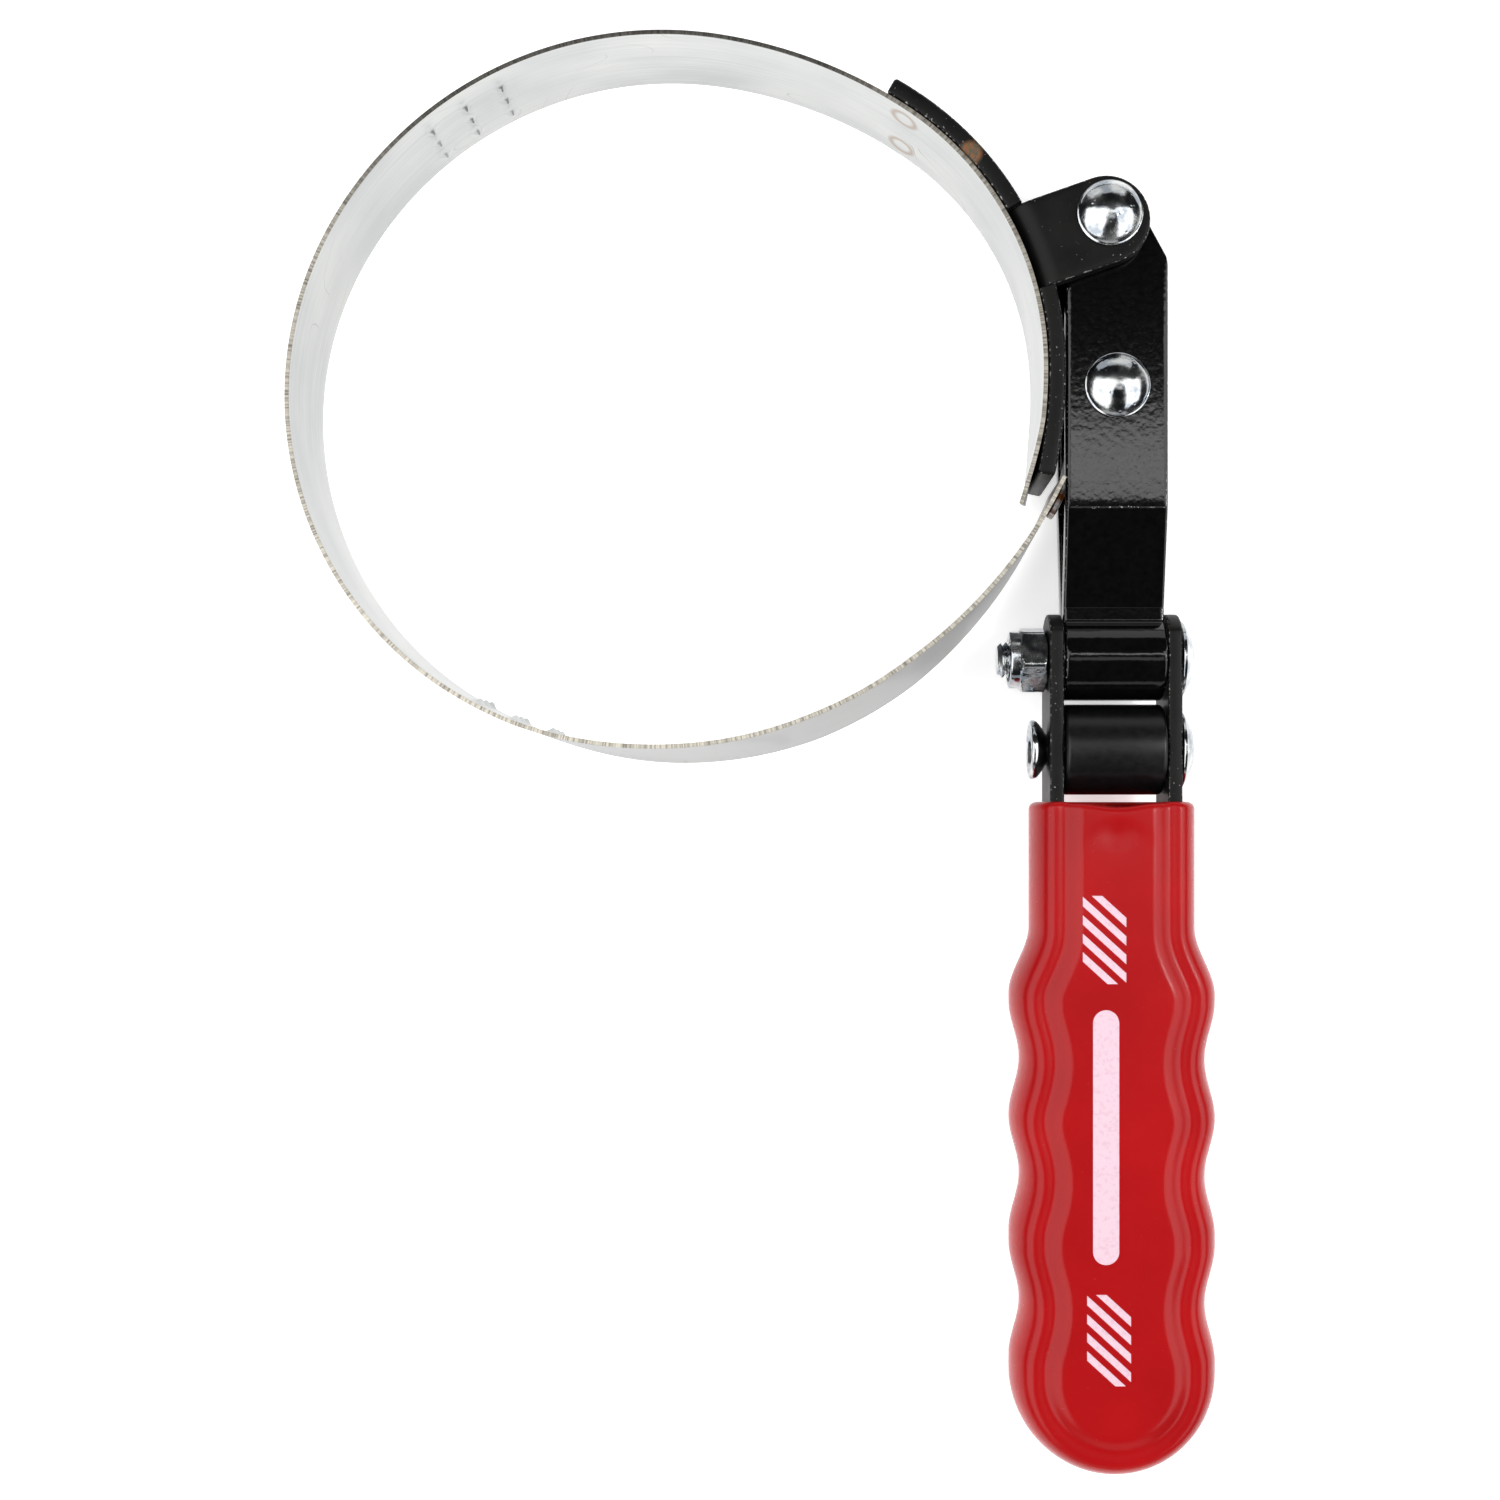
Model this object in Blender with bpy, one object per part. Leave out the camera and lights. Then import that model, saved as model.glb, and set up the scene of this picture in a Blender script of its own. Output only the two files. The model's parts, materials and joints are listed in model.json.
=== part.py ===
"""Strap-type oil filter wrench with a swivel handle, lying flat, in metres.

A thin steel band makes a loop in the XY plane. One end is welded to a curved saddle bracket and the
other to a narrow link whose eye turns on a rivet in the arm. The arm is one strip folded round the
swivel bolt; it hangs on a rivet between the bracket's two ears. A U-bent yoke in a vinyl grip swivels
on the bolt. +X is the right side, +Y runs from the grip to the loop, +Z is the front.
The design's own zero is the swivel bolt's axis, half way between the yoke's legs.
"""

import math

import bmesh
import bpy
from mathutils import Matrix, Vector

MM = 0.001
GAP = 0.15 * MM

# Band: start point, start heading and tangent arcs (radius, sweep in degrees), along its middle.
BAND_START = (-15.1 * MM, 23.9 * MM)
BAND_HEADING = 73.3
BAND_ARCS = (
    (76.0, 17.7),
    (49.3, 56.4),
    (76.6, 23.5),
    (60.5, 71.2),
    (55.6, 88.0),
    (65.4, 66.2),
    (77.8, 30.0),
)
BAND_WIDTH = 20.0 * MM
BAND_THICKNESS = 0.7 * MM
BAND_SLICE = 4.0 * MM
BAND_SEGMENTS = 10
BAND_HINGE_START = 68.5 * MM
SEGMENT_GAP = 0.3 * MM

# Saddle bracket: where it starts and ends along the band, and its two ears.
SADDLE_FROM = 5.6 * MM
SADDLE_TO = 75.5 * MM
SADDLE_THICKNESS = 2.8 * MM
EAR_CENTRE = (-2.2 * MM, 69.7 * MM)
EAR_DIRECTION = 19.4
EAR_RADIUS = 7.05 * MM

# Arm: one strip folded round the swivel bolt.
ARM_PIVOT = (-1.7 * MM, 70.6 * MM)
LINK_PIVOT = (0.0, 43.8 * MM)
ARM_HALF_WIDTH = 8.2 * MM
ARM_HALF_DEPTH = 6.85 * MM
ARM_THICKNESS = 3.2 * MM
ARM_BEND_Y = 24.3 * MM
ARM_WAIST_Y = 8.5 * MM
ARM_TIP_RADIUS = 7.0 * MM
ARM_TIP_END = 58.0
ARM_CHAMFER = ((2.0 * MM, 75.7 * MM), (8.2 * MM, 64.3 * MM))
EYE_RADIUS = 6.75 * MM
EYE_BORE = 3.55 * MM
ARM_KNEE = 0.7 * MM
ARM_SLOT_POINT = 1.5 * MM

# Link: narrow strip welded to the band's loose end, with an eye round the link rivet.
LINK_WIDTH = 6.6 * MM
LINK_THICKNESS = 1.1 * MM
LINK_LAP = 8.0 * MM
LINK_EYE_BORE = 4.55 * MM
LINK_EYE_TURN = 292.0

# Rivets, bolt and nut.
RIVET_HEAD_RADIUS = 5.25 * MM
RIVET_HEAD_HEIGHT = 2.6 * MM
PIVOT_SHANK = 3.0 * MM
LINK_SHANK = 2.6 * MM
BOLT_RADIUS = 3.0 * MM
BOLT_HEAD_RADIUS = 6.3 * MM
BOLT_HEAD_HEIGHT = 2.8 * MM
BOLT_HEAD_RIM = 0.6 * MM
BOLT_END_CHAMFER = 0.6 * MM
BOLT_END_X = -18.9 * MM
NUT_ACROSS_FLATS = 10.0 * MM
NUT_HEX_HEIGHT = 4.5 * MM
NUT_COLLAR_HEIGHT = 1.6 * MM
NUT_COLLAR_RADIUS = 4.7 * MM
INSERT_RADIUS = 3.95 * MM
INSERT_HEIGHT = 1.8 * MM
NUT_SHOULDER = 0.3 * MM
NUT_COLLAR_ROOT = 1.2 * MM
CROSS_RIVET_Y = -14.8 * MM
CROSS_SHANK = 2.5 * MM
FLARE_RADIUS = 4.95 * MM
FLARE_DEPTH = 2.7 * MM
FLARE_LIP = 0.5 * MM
TAIL_BORE = 1.8 * MM
TAIL_BORE_DEPTH = 6.0 * MM

# Yoke, spacer and grip.
YOKE_HALF_WIDTH = 10.75 * MM
YOKE_THICKNESS = 2.3 * MM
YOKE_HALF_DEPTH = 6.0 * MM
YOKE_END_RADIUS = 7.5 * MM
YOKE_BEND_Y = -117.0 * MM
SPACER_RADIUS = 7.45 * MM
SPACER_HALF_LENGTH = 8.2 * MM
GRIP_TOP_Y = -24.5 * MM
GRIP_BOTTOM_Y = -133.8 * MM
GRIP_NECK = 13.55 * MM
GRIP_LOBE = 16.9 * MM
GRIP_VALLEY = 1.7 * MM
GRIP_VALLEYS_Y = (-65.7 * MM, -84.8 * MM, -105.6 * MM)
GRIP_SHOULDER_Y = (-44.0 * MM, -55.0 * MM)
GRIP_HALF_DEPTH = 8.0 * MM
GRIP_EDGE = 6.0 * MM

ROUND_STEPS = 32


# ---------------------------------------------------------------- curves


def arc_points(centre, radius, start, end, steps):
    """Points on a circle from angle start to angle end, in degrees."""
    points = []
    for i in range(steps + 1):
        angle = math.radians(start + (end - start) * i / steps)
        points.append((centre[0] + radius * math.cos(angle), centre[1] + radius * math.sin(angle)))
    return points


def band_length():
    """Length of the band along its middle."""
    return sum(radius * MM * math.radians(sweep) for radius, sweep in BAND_ARCS)


def band_point(distance):
    """Point and heading on the band's middle at a distance along it."""
    x, y = BAND_START
    heading = math.radians(BAND_HEADING)
    left = distance
    for radius, sweep in BAND_ARCS:
        radius *= MM
        length = radius * math.radians(sweep)
        step = min(left, length)
        turned = heading + step / radius
        x += radius * (math.sin(turned) - math.sin(heading))
        y -= radius * (math.cos(turned) - math.cos(heading))
        heading = turned
        left -= step
        if left <= 0.0:
            break
    return x, y, heading


def band_offset(distance, offset):
    """Point at an offset outside the loop from the band's middle."""
    x, y, heading = band_point(distance)
    return x + offset * math.sin(heading), y - offset * math.cos(heading)


def band_strip(start, end, inner, outer):
    """Closed outline between two offsets along a stretch of the band."""
    steps = max(2, round((end - start) / BAND_SLICE))
    stops = [start + (end - start) * i / steps for i in range(steps + 1)]
    outside = [band_offset(stop, outer) for stop in stops]
    inside = [band_offset(stop, inner) for stop in reversed(stops)]
    return outside + inside


def band_stops():
    """Distances along the band of its hinges."""
    pitch = (band_length() - BAND_HINGE_START) / BAND_SEGMENTS
    return [BAND_HINGE_START + pitch * (i + 0.5) for i in range(BAND_SEGMENTS)]


# ---------------------------------------------------------------- scene helpers


def clear_scene():
    for item in list(bpy.data.objects):
        bpy.data.objects.remove(item, do_unlink=True)


def material(name, colour, roughness, metallic=0.0):
    made = bpy.data.materials.new(name)
    made.use_nodes = True
    shader = made.node_tree.nodes["Principled BSDF"]
    shader.inputs["Base Color"].default_value = (*colour, 1.0)
    shader.inputs["Roughness"].default_value = roughness
    shader.inputs["Metallic"].default_value = metallic
    return made


def solid(name, bm, finish=None):
    """Put a bmesh in a new object, with its faces turned outwards."""
    bmesh.ops.recalc_face_normals(bm, faces=bm.faces)
    mesh = bpy.data.meshes.new(name)
    bm.to_mesh(mesh)
    bm.free()
    mesh.shade_smooth()
    mesh.set_sharp_from_angle(angle=math.radians(30))
    made = bpy.data.objects.new(name, mesh)
    bpy.context.scene.collection.objects.link(made)
    if finish:
        mesh.materials.append(finish)
    return made


def prism(name, outline, low, high, axis="Z", finish=None):
    """Outline extruded along Z, or an outline in (Z, Y) extruded along X."""
    bm = bmesh.new()
    if axis == "Z":
        loop = [bm.verts.new((x, y, low)) for x, y in outline]
        move = (0.0, 0.0, high - low)
    else:
        loop = [bm.verts.new((low, y, z)) for z, y in outline]
        move = (high - low, 0.0, 0.0)
    face = bm.faces.new(loop)
    grown = bmesh.ops.extrude_face_region(bm, geom=[face])
    moved = [item for item in grown["geom"] if isinstance(item, bmesh.types.BMVert)]
    bmesh.ops.translate(bm, verts=moved, vec=move)
    return solid(name, bm, finish)


def turned(name, profile, centre, axis="Z", finish=None, steps=ROUND_STEPS):
    """Profile of (radius, height) points spun about an axis through centre."""
    bm = bmesh.new()
    rings = []
    for radius, height in profile:
        if radius == 0.0:
            rings.append([bm.verts.new((0.0, 0.0, height))])
            continue
        ring = arc_points((0.0, 0.0), radius, 0.0, 360.0, steps)[:-1]
        rings.append([bm.verts.new((x, y, height)) for x, y in ring])
    pairs = list(zip(rings, rings[1:]))
    if len(rings[0]) > 1:
        pairs.append((rings[-1], rings[0]))
    for low, high in pairs:
        for i in range(steps):
            j = (i + 1) % steps
            corners = [low[i % len(low)], low[j % len(low)], high[j % len(high)], high[i % len(high)]]
            unique = list(dict.fromkeys(corners))
            if len(unique) > 2:
                bm.faces.new(unique)
    if axis == "X":
        bmesh.ops.transform(bm, matrix=Matrix.Rotation(math.radians(90), 4, "Y"), verts=bm.verts)
    bmesh.ops.translate(bm, verts=bm.verts, vec=centre)
    return solid(name, bm, finish)


def rod(name, radius, centre, reach, axis="Z"):
    """Plain cylinder through centre, reaching the same way to both sides."""
    profile = [(0.0, -reach), (radius, -reach), (radius, reach), (0.0, reach)]
    return turned(name, profile, centre, axis)


def combine(target, other, operation):
    """Live Boolean; the other object stays as a hidden wire guide."""
    change = target.modifiers.new(other.name, "BOOLEAN")
    change.operation = operation
    change.object = other
    change.solver = "EXACT"
    other.hide_render = True
    other.display_type = "WIRE"
    other.parent = target


def pivot(name, at, parent):
    """Empty on a joint's axis."""
    made = bpy.data.objects.new(name, None)
    made.empty_display_size = 0.01
    bpy.context.scene.collection.objects.link(made)
    made.parent = parent
    made.location = Vector(at) - (Vector(parent["at"]) if parent else Vector((0.0, 0.0, 0.0)))
    made["at"] = at
    return made


def hang(item, axis_empty):
    """Give an object its joint's pivot as parent and origin."""
    shift = Matrix.Translation(-Vector(axis_empty["at"]))
    item.data.transform(shift)
    for guide in item.children:
        guide.data.transform(shift)
    item.parent = axis_empty


def dome(radius, height, base, steps=6):
    """Half profile of a spherical cap on a base plane, from its rim to its top."""
    sphere = (radius * radius + height * height) / (2.0 * height)
    reach = math.asin(radius / sphere)
    points = []
    for i in range(steps):
        angle = reach * (1.0 - i / steps)
        points.append((sphere * math.sin(angle), base + height - sphere * (1.0 - math.cos(angle))))
    points.append((0.0, base + height))
    return points


def double_headed(shank, head, height, half_grip):
    """Half profile of a rivet with the same domed head on both ends."""
    top = dome(head, height, half_grip)
    bottom = [(radius, -level) for radius, level in reversed(top)]
    return bottom + [(shank, -half_grip), (shank, half_grip)] + top


# ---------------------------------------------------------------- bracket and band


def ear_outline():
    """Strip with a round end, rooted in the middle of the saddle's thickness."""
    along = Vector((math.cos(math.radians(EAR_DIRECTION)), math.sin(math.radians(EAR_DIRECTION))))
    across = Vector((-along.y, along.x))
    middle = BAND_THICKNESS / 2 + GAP + SADDLE_THICKNESS / 2
    first_length = BAND_ARCS[0][0] * MM * math.radians(BAND_ARCS[0][1])
    x, y, heading = band_point(first_length)
    radius = BAND_ARCS[1][0] * MM
    centre = Vector((x - radius * math.sin(heading), y + radius * math.cos(heading)))
    roots = []
    for side in (1.0, -1.0):
        corner = Vector(EAR_CENTRE) + across * (side * EAR_RADIUS)
        delta = corner - centre
        projection = delta.dot(along)
        reach = projection - math.sqrt(projection ** 2 - delta.length_squared + (radius + middle) ** 2)
        roots.append(tuple(corner - along * reach))
    tip = arc_points(EAR_CENTRE, EAR_RADIUS, EAR_DIRECTION - 90.0, EAR_DIRECTION + 90.0, 14)
    return [roots[1]] + tip + [roots[0]]


def make_bracket(steel):
    inner = BAND_THICKNESS / 2 + GAP
    half = BAND_WIDTH / 2
    outline = band_strip(SADDLE_FROM, SADDLE_TO, inner, inner + SADDLE_THICKNESS)
    bracket = prism("saddle_bracket", outline, -half, half, finish=steel)
    ears = ear_outline()
    combine(bracket, prism("front_ear_guide", ears, half - SADDLE_THICKNESS, half), "UNION")
    combine(bracket, prism("back_ear_guide", ears, -half, SADDLE_THICKNESS - half), "UNION")
    hole = rod("ear_hole_guide", PIVOT_SHANK + GAP, (*ARM_PIVOT, 0.0), BAND_WIDTH)
    combine(bracket, hole, "DIFFERENCE")
    return bracket


def make_band(steel):
    """Clamped end and moving segments, each ending at the hinges between them."""
    stops = band_stops()
    edges = [0.0] + stops + [band_length()]
    half = BAND_THICKNESS / 2
    pieces = []
    for i in range(len(edges) - 1):
        start = edges[i] + (SEGMENT_GAP / 2 if i else 0.0)
        end = edges[i + 1] - (SEGMENT_GAP / 2 if i + 2 < len(edges) else 0.0)
        name = f"band_segment_{i:02d}" if i else "band_clamped_end"
        outline = band_strip(start, end, -half, half)
        pieces.append(prism(name, outline, -BAND_WIDTH / 2, BAND_WIDTH / 2, finish=steel))
    return pieces


def link_path():
    """Middle of the link: straight along the weld, a slight set, then round the eye."""
    offset = BAND_THICKNESS / 2 + GAP + LINK_THICKNESS / 2
    length = band_length()
    steps = 4
    lap = [band_offset(length - LINK_LAP * (1.0 - i / steps), offset) for i in range(steps + 1)]
    radius = LINK_EYE_BORE + LINK_THICKNESS / 2
    leave = Vector(lap[-1])
    away = leave - Vector(LINK_PIVOT)
    bearing = math.degrees(math.atan2(away.y, away.x))
    opening = math.degrees(math.acos(radius / away.length))
    touch = bearing - opening
    eye = arc_points(LINK_PIVOT, radius, touch, touch - LINK_EYE_TURN, 24)
    return lap + eye


def make_link(steel):
    """Strip of constant thickness along the link's path."""
    path = [Vector(point) for point in link_path()]
    half = LINK_THICKNESS / 2
    left = []
    right = []
    for i, point in enumerate(path):
        before = path[max(i - 1, 0)]
        after = path[min(i + 1, len(path) - 1)]
        along = (after - before).normalized()
        side = Vector((-along.y, along.x)) * half
        left.append(tuple(point + side))
        right.append(tuple(point - side))
    outline = left + right[::-1]
    return prism("band_link_eye", outline, -LINK_WIDTH / 2, LINK_WIDTH / 2, finish=steel)


# ---------------------------------------------------------------- arm


def arm_side_outline():
    """Outside of the folded strip in (Z, Y): two plates, sloping in to a round eye."""
    waist = ARM_THICKNESS + GAP / 2
    meet = math.degrees(math.asin(waist / EYE_RADIUS))
    eye = arc_points((0.0, 0.0), EYE_RADIUS, 90.0 - meet, -270.0 + meet, 36)
    top = ARM_PIVOT[1] + 2.0 * ARM_TIP_RADIUS
    front = [(ARM_HALF_DEPTH, top), (ARM_HALF_DEPTH, ARM_BEND_Y), (waist, ARM_WAIST_Y)]
    back = [(-waist, ARM_WAIST_Y), (-ARM_HALF_DEPTH, ARM_BEND_Y), (-ARM_HALF_DEPTH, top)]
    return front + eye + back


def arm_slot_outline():
    """Space between the plates in (Z, Y), narrowing to nothing above the eye."""
    inside = ARM_HALF_DEPTH - ARM_THICKNESS
    top = ARM_PIVOT[1] + 2.0 * ARM_TIP_RADIUS
    knee = ARM_BEND_Y + ARM_KNEE
    point = ARM_WAIST_Y + ARM_SLOT_POINT
    return [(inside, top), (inside, knee), (0.0, point), (-inside, knee), (-inside, top)]


def arm_front_outline():
    """Front view of the arm: round at the pivot, one corner cut off."""
    side = ARM_HALF_WIDTH
    low = -2.0 * EYE_RADIUS
    start = math.degrees(math.acos((-side - ARM_PIVOT[0]) / ARM_TIP_RADIUS))
    tip = arc_points(ARM_PIVOT, ARM_TIP_RADIUS, start, ARM_TIP_END, 12)
    return [(side, low), ARM_CHAMFER[1], ARM_CHAMFER[0]] + tip[::-1] + [(-side, low)]


def make_arm(paint):
    reach = 1.5 * ARM_HALF_WIDTH
    arm = prism("folded_arm", arm_side_outline(), -reach, reach, "X", finish=paint)
    depth = 2.0 * EYE_RADIUS
    combine(arm, prism("arm_front_guide", arm_front_outline(), -depth, depth), "INTERSECT")
    combine(arm, prism("arm_slot_guide", arm_slot_outline(), -2 * reach, 2 * reach, "X"), "DIFFERENCE")
    combine(arm, rod("arm_eye_guide", EYE_BORE, (0.0, 0.0, 0.0), 2 * reach, "X"), "DIFFERENCE")
    pivot_hole = rod("arm_pivot_guide", PIVOT_SHANK + GAP, (*ARM_PIVOT, 0.0), depth)
    combine(arm, pivot_hole, "DIFFERENCE")
    link_hole = rod("arm_link_guide", LINK_SHANK + GAP, (*LINK_PIVOT, 0.0), depth)
    combine(arm, link_hole, "DIFFERENCE")
    return arm


def make_rivet(name, at, shank, half_grip, zinc):
    profile = double_headed(shank, RIVET_HEAD_RADIUS, RIVET_HEAD_HEIGHT, half_grip + GAP)
    return turned(name, profile, (*at, 0.0), finish=zinc)


# ---------------------------------------------------------------- swivel


def yoke_outline(grow=0.0):
    """U-bent bar in (X, Y), thickened on both faces by grow."""
    outer = YOKE_HALF_WIDTH + grow
    inner = YOKE_HALF_WIDTH - YOKE_THICKNESS - grow
    centre = (0.0, YOKE_BEND_Y)
    top = 2.0 * YOKE_END_RADIUS
    outside = arc_points(centre, outer, 180.0, 360.0, 24)
    inside = arc_points(centre, inner, 360.0, 180.0, 24)
    return [(-outer, top)] + outside + [(outer, top), (inner, top)] + inside + [(-inner, top)]


def make_yoke(steel):
    half = YOKE_HALF_DEPTH
    yoke = prism("yoke", yoke_outline(), -half, half, finish=steel)
    corner = math.degrees(math.acos(half / YOKE_END_RADIUS))
    side = arc_points((0.0, 0.0), YOKE_END_RADIUS, corner, 180.0 - corner, 16)
    low = YOKE_BEND_Y - 2.0 * YOKE_HALF_WIDTH
    side = [(-2.0 * half, low), (2.0 * half, low), (2.0 * half, side[0][1])] + side
    side = side + [(-2.0 * half, side[-1][1])]
    combine(yoke, prism("yoke_end_guide", side, -GRIP_LOBE, GRIP_LOBE, "X"), "INTERSECT")
    combine(yoke, rod("bolt_hole_guide", BOLT_RADIUS + GAP, (0.0, 0.0, 0.0), GRIP_LOBE, "X"), "DIFFERENCE")
    at = (0.0, CROSS_RIVET_Y, 0.0)
    combine(yoke, rod("rivet_hole_guide", CROSS_SHANK + GAP, at, GRIP_LOBE, "X"), "DIFFERENCE")
    return yoke


def make_bolt(zinc):
    """Domed head on the right, plain shank, end chamfer on the left."""
    seat = YOKE_HALF_WIDTH + GAP
    profile = [(0.0, BOLT_END_X), (BOLT_RADIUS - BOLT_END_CHAMFER, BOLT_END_X)]
    profile += [(BOLT_RADIUS, BOLT_END_X + BOLT_END_CHAMFER)]
    profile += [(BOLT_RADIUS, seat), (BOLT_HEAD_RADIUS, seat)]
    profile += dome(BOLT_HEAD_RADIUS, BOLT_HEAD_HEIGHT - BOLT_HEAD_RIM, seat + BOLT_HEAD_RIM)
    return turned("swivel_bolt", profile, (0.0, 0.0, 0.0), "X", zinc)


def make_nut(zinc):
    """Hexagon with a round collar that holds the locking ring."""
    seat = -YOKE_HALF_WIDTH - GAP
    corner = NUT_ACROSS_FLATS / math.sqrt(3.0)
    hexagon = arc_points((0.0, 0.0), corner, 30.0, 390.0, 6)[:-1]
    nut = prism("lock_nut", hexagon, seat - NUT_HEX_HEIGHT, seat, "X", finish=zinc)
    collar_end = seat - NUT_HEX_HEIGHT - NUT_COLLAR_HEIGHT
    round_part = [(0.0, collar_end), (NUT_COLLAR_RADIUS, collar_end)]
    round_part += [(NUT_COLLAR_RADIUS, seat - NUT_COLLAR_ROOT), (0.0, seat - NUT_COLLAR_ROOT)]
    combine(nut, turned("nut_collar_guide", round_part, (0.0, 0.0, 0.0), "X"), "UNION")
    combine(nut, rod("nut_bore_guide", BOLT_RADIUS + GAP, (0.0, 0.0, 0.0), 2 * GRIP_LOBE, "X"), "DIFFERENCE")
    seat_end = collar_end + INSERT_HEIGHT + NUT_SHOULDER + GAP
    pocket = [(0.0, collar_end - NUT_SHOULDER), (INSERT_RADIUS + GAP, collar_end - NUT_SHOULDER)]
    pocket += [(INSERT_RADIUS + GAP, seat_end), (0.0, seat_end)]
    combine(nut, turned("nut_pocket_guide", pocket, (0.0, 0.0, 0.0), "X"), "DIFFERENCE")
    low = collar_end + NUT_SHOULDER
    ring = [(BOLT_RADIUS + GAP, low), (INSERT_RADIUS, low), (INSERT_RADIUS, low + INSERT_HEIGHT)]
    ring += [(BOLT_RADIUS + GAP, low + INSERT_HEIGHT)]
    return nut, ring


def make_insert(ring, nylon):
    return turned("nut_locking_ring", ring, (0.0, 0.0, 0.0), "X", nylon)


def make_cross_rivet(zinc):
    """Domed head on the right, flared hollow tail on the left."""
    seat = YOKE_HALF_WIDTH + GAP
    rim = -seat - FLARE_DEPTH
    profile = [(0.0, -seat + TAIL_BORE_DEPTH), (TAIL_BORE, -seat + TAIL_BORE_DEPTH), (TAIL_BORE, -seat)]
    profile += [(FLARE_RADIUS - FLARE_LIP, rim), (FLARE_RADIUS, rim + FLARE_LIP)]
    profile += [(CROSS_SHANK + FLARE_LIP, -seat)]
    profile += [(CROSS_SHANK, -seat), (CROSS_SHANK, seat), (BOLT_HEAD_RADIUS, seat)]
    profile += dome(BOLT_HEAD_RADIUS, BOLT_HEAD_HEIGHT - BOLT_HEAD_RIM, seat + BOLT_HEAD_RIM)
    return turned("cross_rivet", profile, (0.0, CROSS_RIVET_Y, 0.0), "X", zinc)


def make_spacer(plastic):
    bore = CROSS_SHANK + 2.0 * GAP
    half = SPACER_HALF_LENGTH
    profile = [(bore, -half), (SPACER_RADIUS, -half), (SPACER_RADIUS, half), (bore, half)]
    return turned("spacer_sleeve", profile, (0.0, CROSS_RIVET_Y, 0.0), "X", plastic)


# ---------------------------------------------------------------- grip


def smooth_step(value):
    value = min(max(value, 0.0), 1.0)
    return value * value * (3.0 - 2.0 * value)


def grip_half_width(y):
    """Neck, shoulder and finger lobes; each valley is a raised-cosine dip."""
    shoulder = (GRIP_SHOULDER_Y[0] - y) / (GRIP_SHOULDER_Y[0] - GRIP_SHOULDER_Y[1])
    width = GRIP_NECK + (GRIP_LOBE - GRIP_NECK) * smooth_step(shoulder)
    reach = (GRIP_VALLEYS_Y[0] - GRIP_VALLEYS_Y[1]) / 2
    for valley in GRIP_VALLEYS_Y:
        away = min(abs(y - valley) / reach, 1.0)
        width -= GRIP_VALLEY * 0.5 * (1.0 + math.cos(math.pi * away))
    return width


def grip_outline(top, inset):
    """Outline from the top right, down, round the end and up the left side, moved in by inset."""
    end_centre_y = GRIP_BOTTOM_Y + GRIP_LOBE
    steps = 44
    ys = [top + (end_centre_y - top) * i / steps for i in range(steps + 1)]
    right = [Vector((grip_half_width(y), y)) for y in ys]
    right += [Vector(point) for point in arc_points((0.0, end_centre_y), GRIP_LOBE, 0.0, -90.0, 14)[1:]]
    moved = []
    for i, point in enumerate(right):
        before = right[max(i - 1, 0)]
        after = right[min(i + 1, len(right) - 1)]
        along = (after - before).normalized()
        if i == len(right) - 1:
            along = Vector((-1.0, 0.0))
        moved.append(point + Vector((along.y, -along.x)) * inset)
    left = [Vector((-point.x, point.y)) for point in reversed(moved[:-1])]
    return moved + left


def make_grip(vinyl):
    """Stack of inset outlines with round edges and flat faces, hollow for the yoke's bar."""
    steps = 8
    bm = bmesh.new()
    rings = []
    for i in range(steps + 1):
        angle = math.radians(-90.0 + 180.0 * i / steps)
        outline = grip_outline(GRIP_TOP_Y + GRIP_EDGE, GRIP_EDGE * (1.0 - math.cos(angle)))
        level = GRIP_HALF_DEPTH * math.sin(angle)
        rings.append([bm.verts.new((point.x, point.y, level)) for point in outline])
    for low, high in zip(rings, rings[1:]):
        for j in range(len(low)):
            k = (j + 1) % len(low)
            bm.faces.new((low[j], low[k], high[k], high[j]))
    bm.faces.new(rings[0])
    bm.faces.new(rings[-1])
    grip = solid("grip", bm, vinyl)
    far = 3.0 * GRIP_LOBE
    trim = [(-far, GRIP_TOP_Y), (far, GRIP_TOP_Y), (far, far), (-far, far)]
    combine(grip, prism("grip_trim_guide", trim, -far, far), "DIFFERENCE")
    depth = YOKE_HALF_DEPTH + GAP
    combine(grip, prism("grip_pocket_guide", yoke_outline(GAP), -depth, depth), "DIFFERENCE")
    return grip


# ---------------------------------------------------------------- assembly


def stand_on_origin(assembly):
    """Move the assembly so that zero is the middle of the bottom of its box."""
    bpy.context.view_layer.update()
    corners = []
    for item in bpy.context.scene.objects:
        if item.type == "MESH" and not item.hide_render:
            evaluated = item.evaluated_get(bpy.context.evaluated_depsgraph_get())
            corners += [item.matrix_world @ vertex.co for vertex in evaluated.data.vertices]
    low = Vector([min(corner[k] for corner in corners) for k in range(3)])
    high = Vector([max(corner[k] for corner in corners) for k in range(3)])
    assembly.location = (-(low.x + high.x) / 2, -(low.y + high.y) / 2, -low.z)


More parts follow.
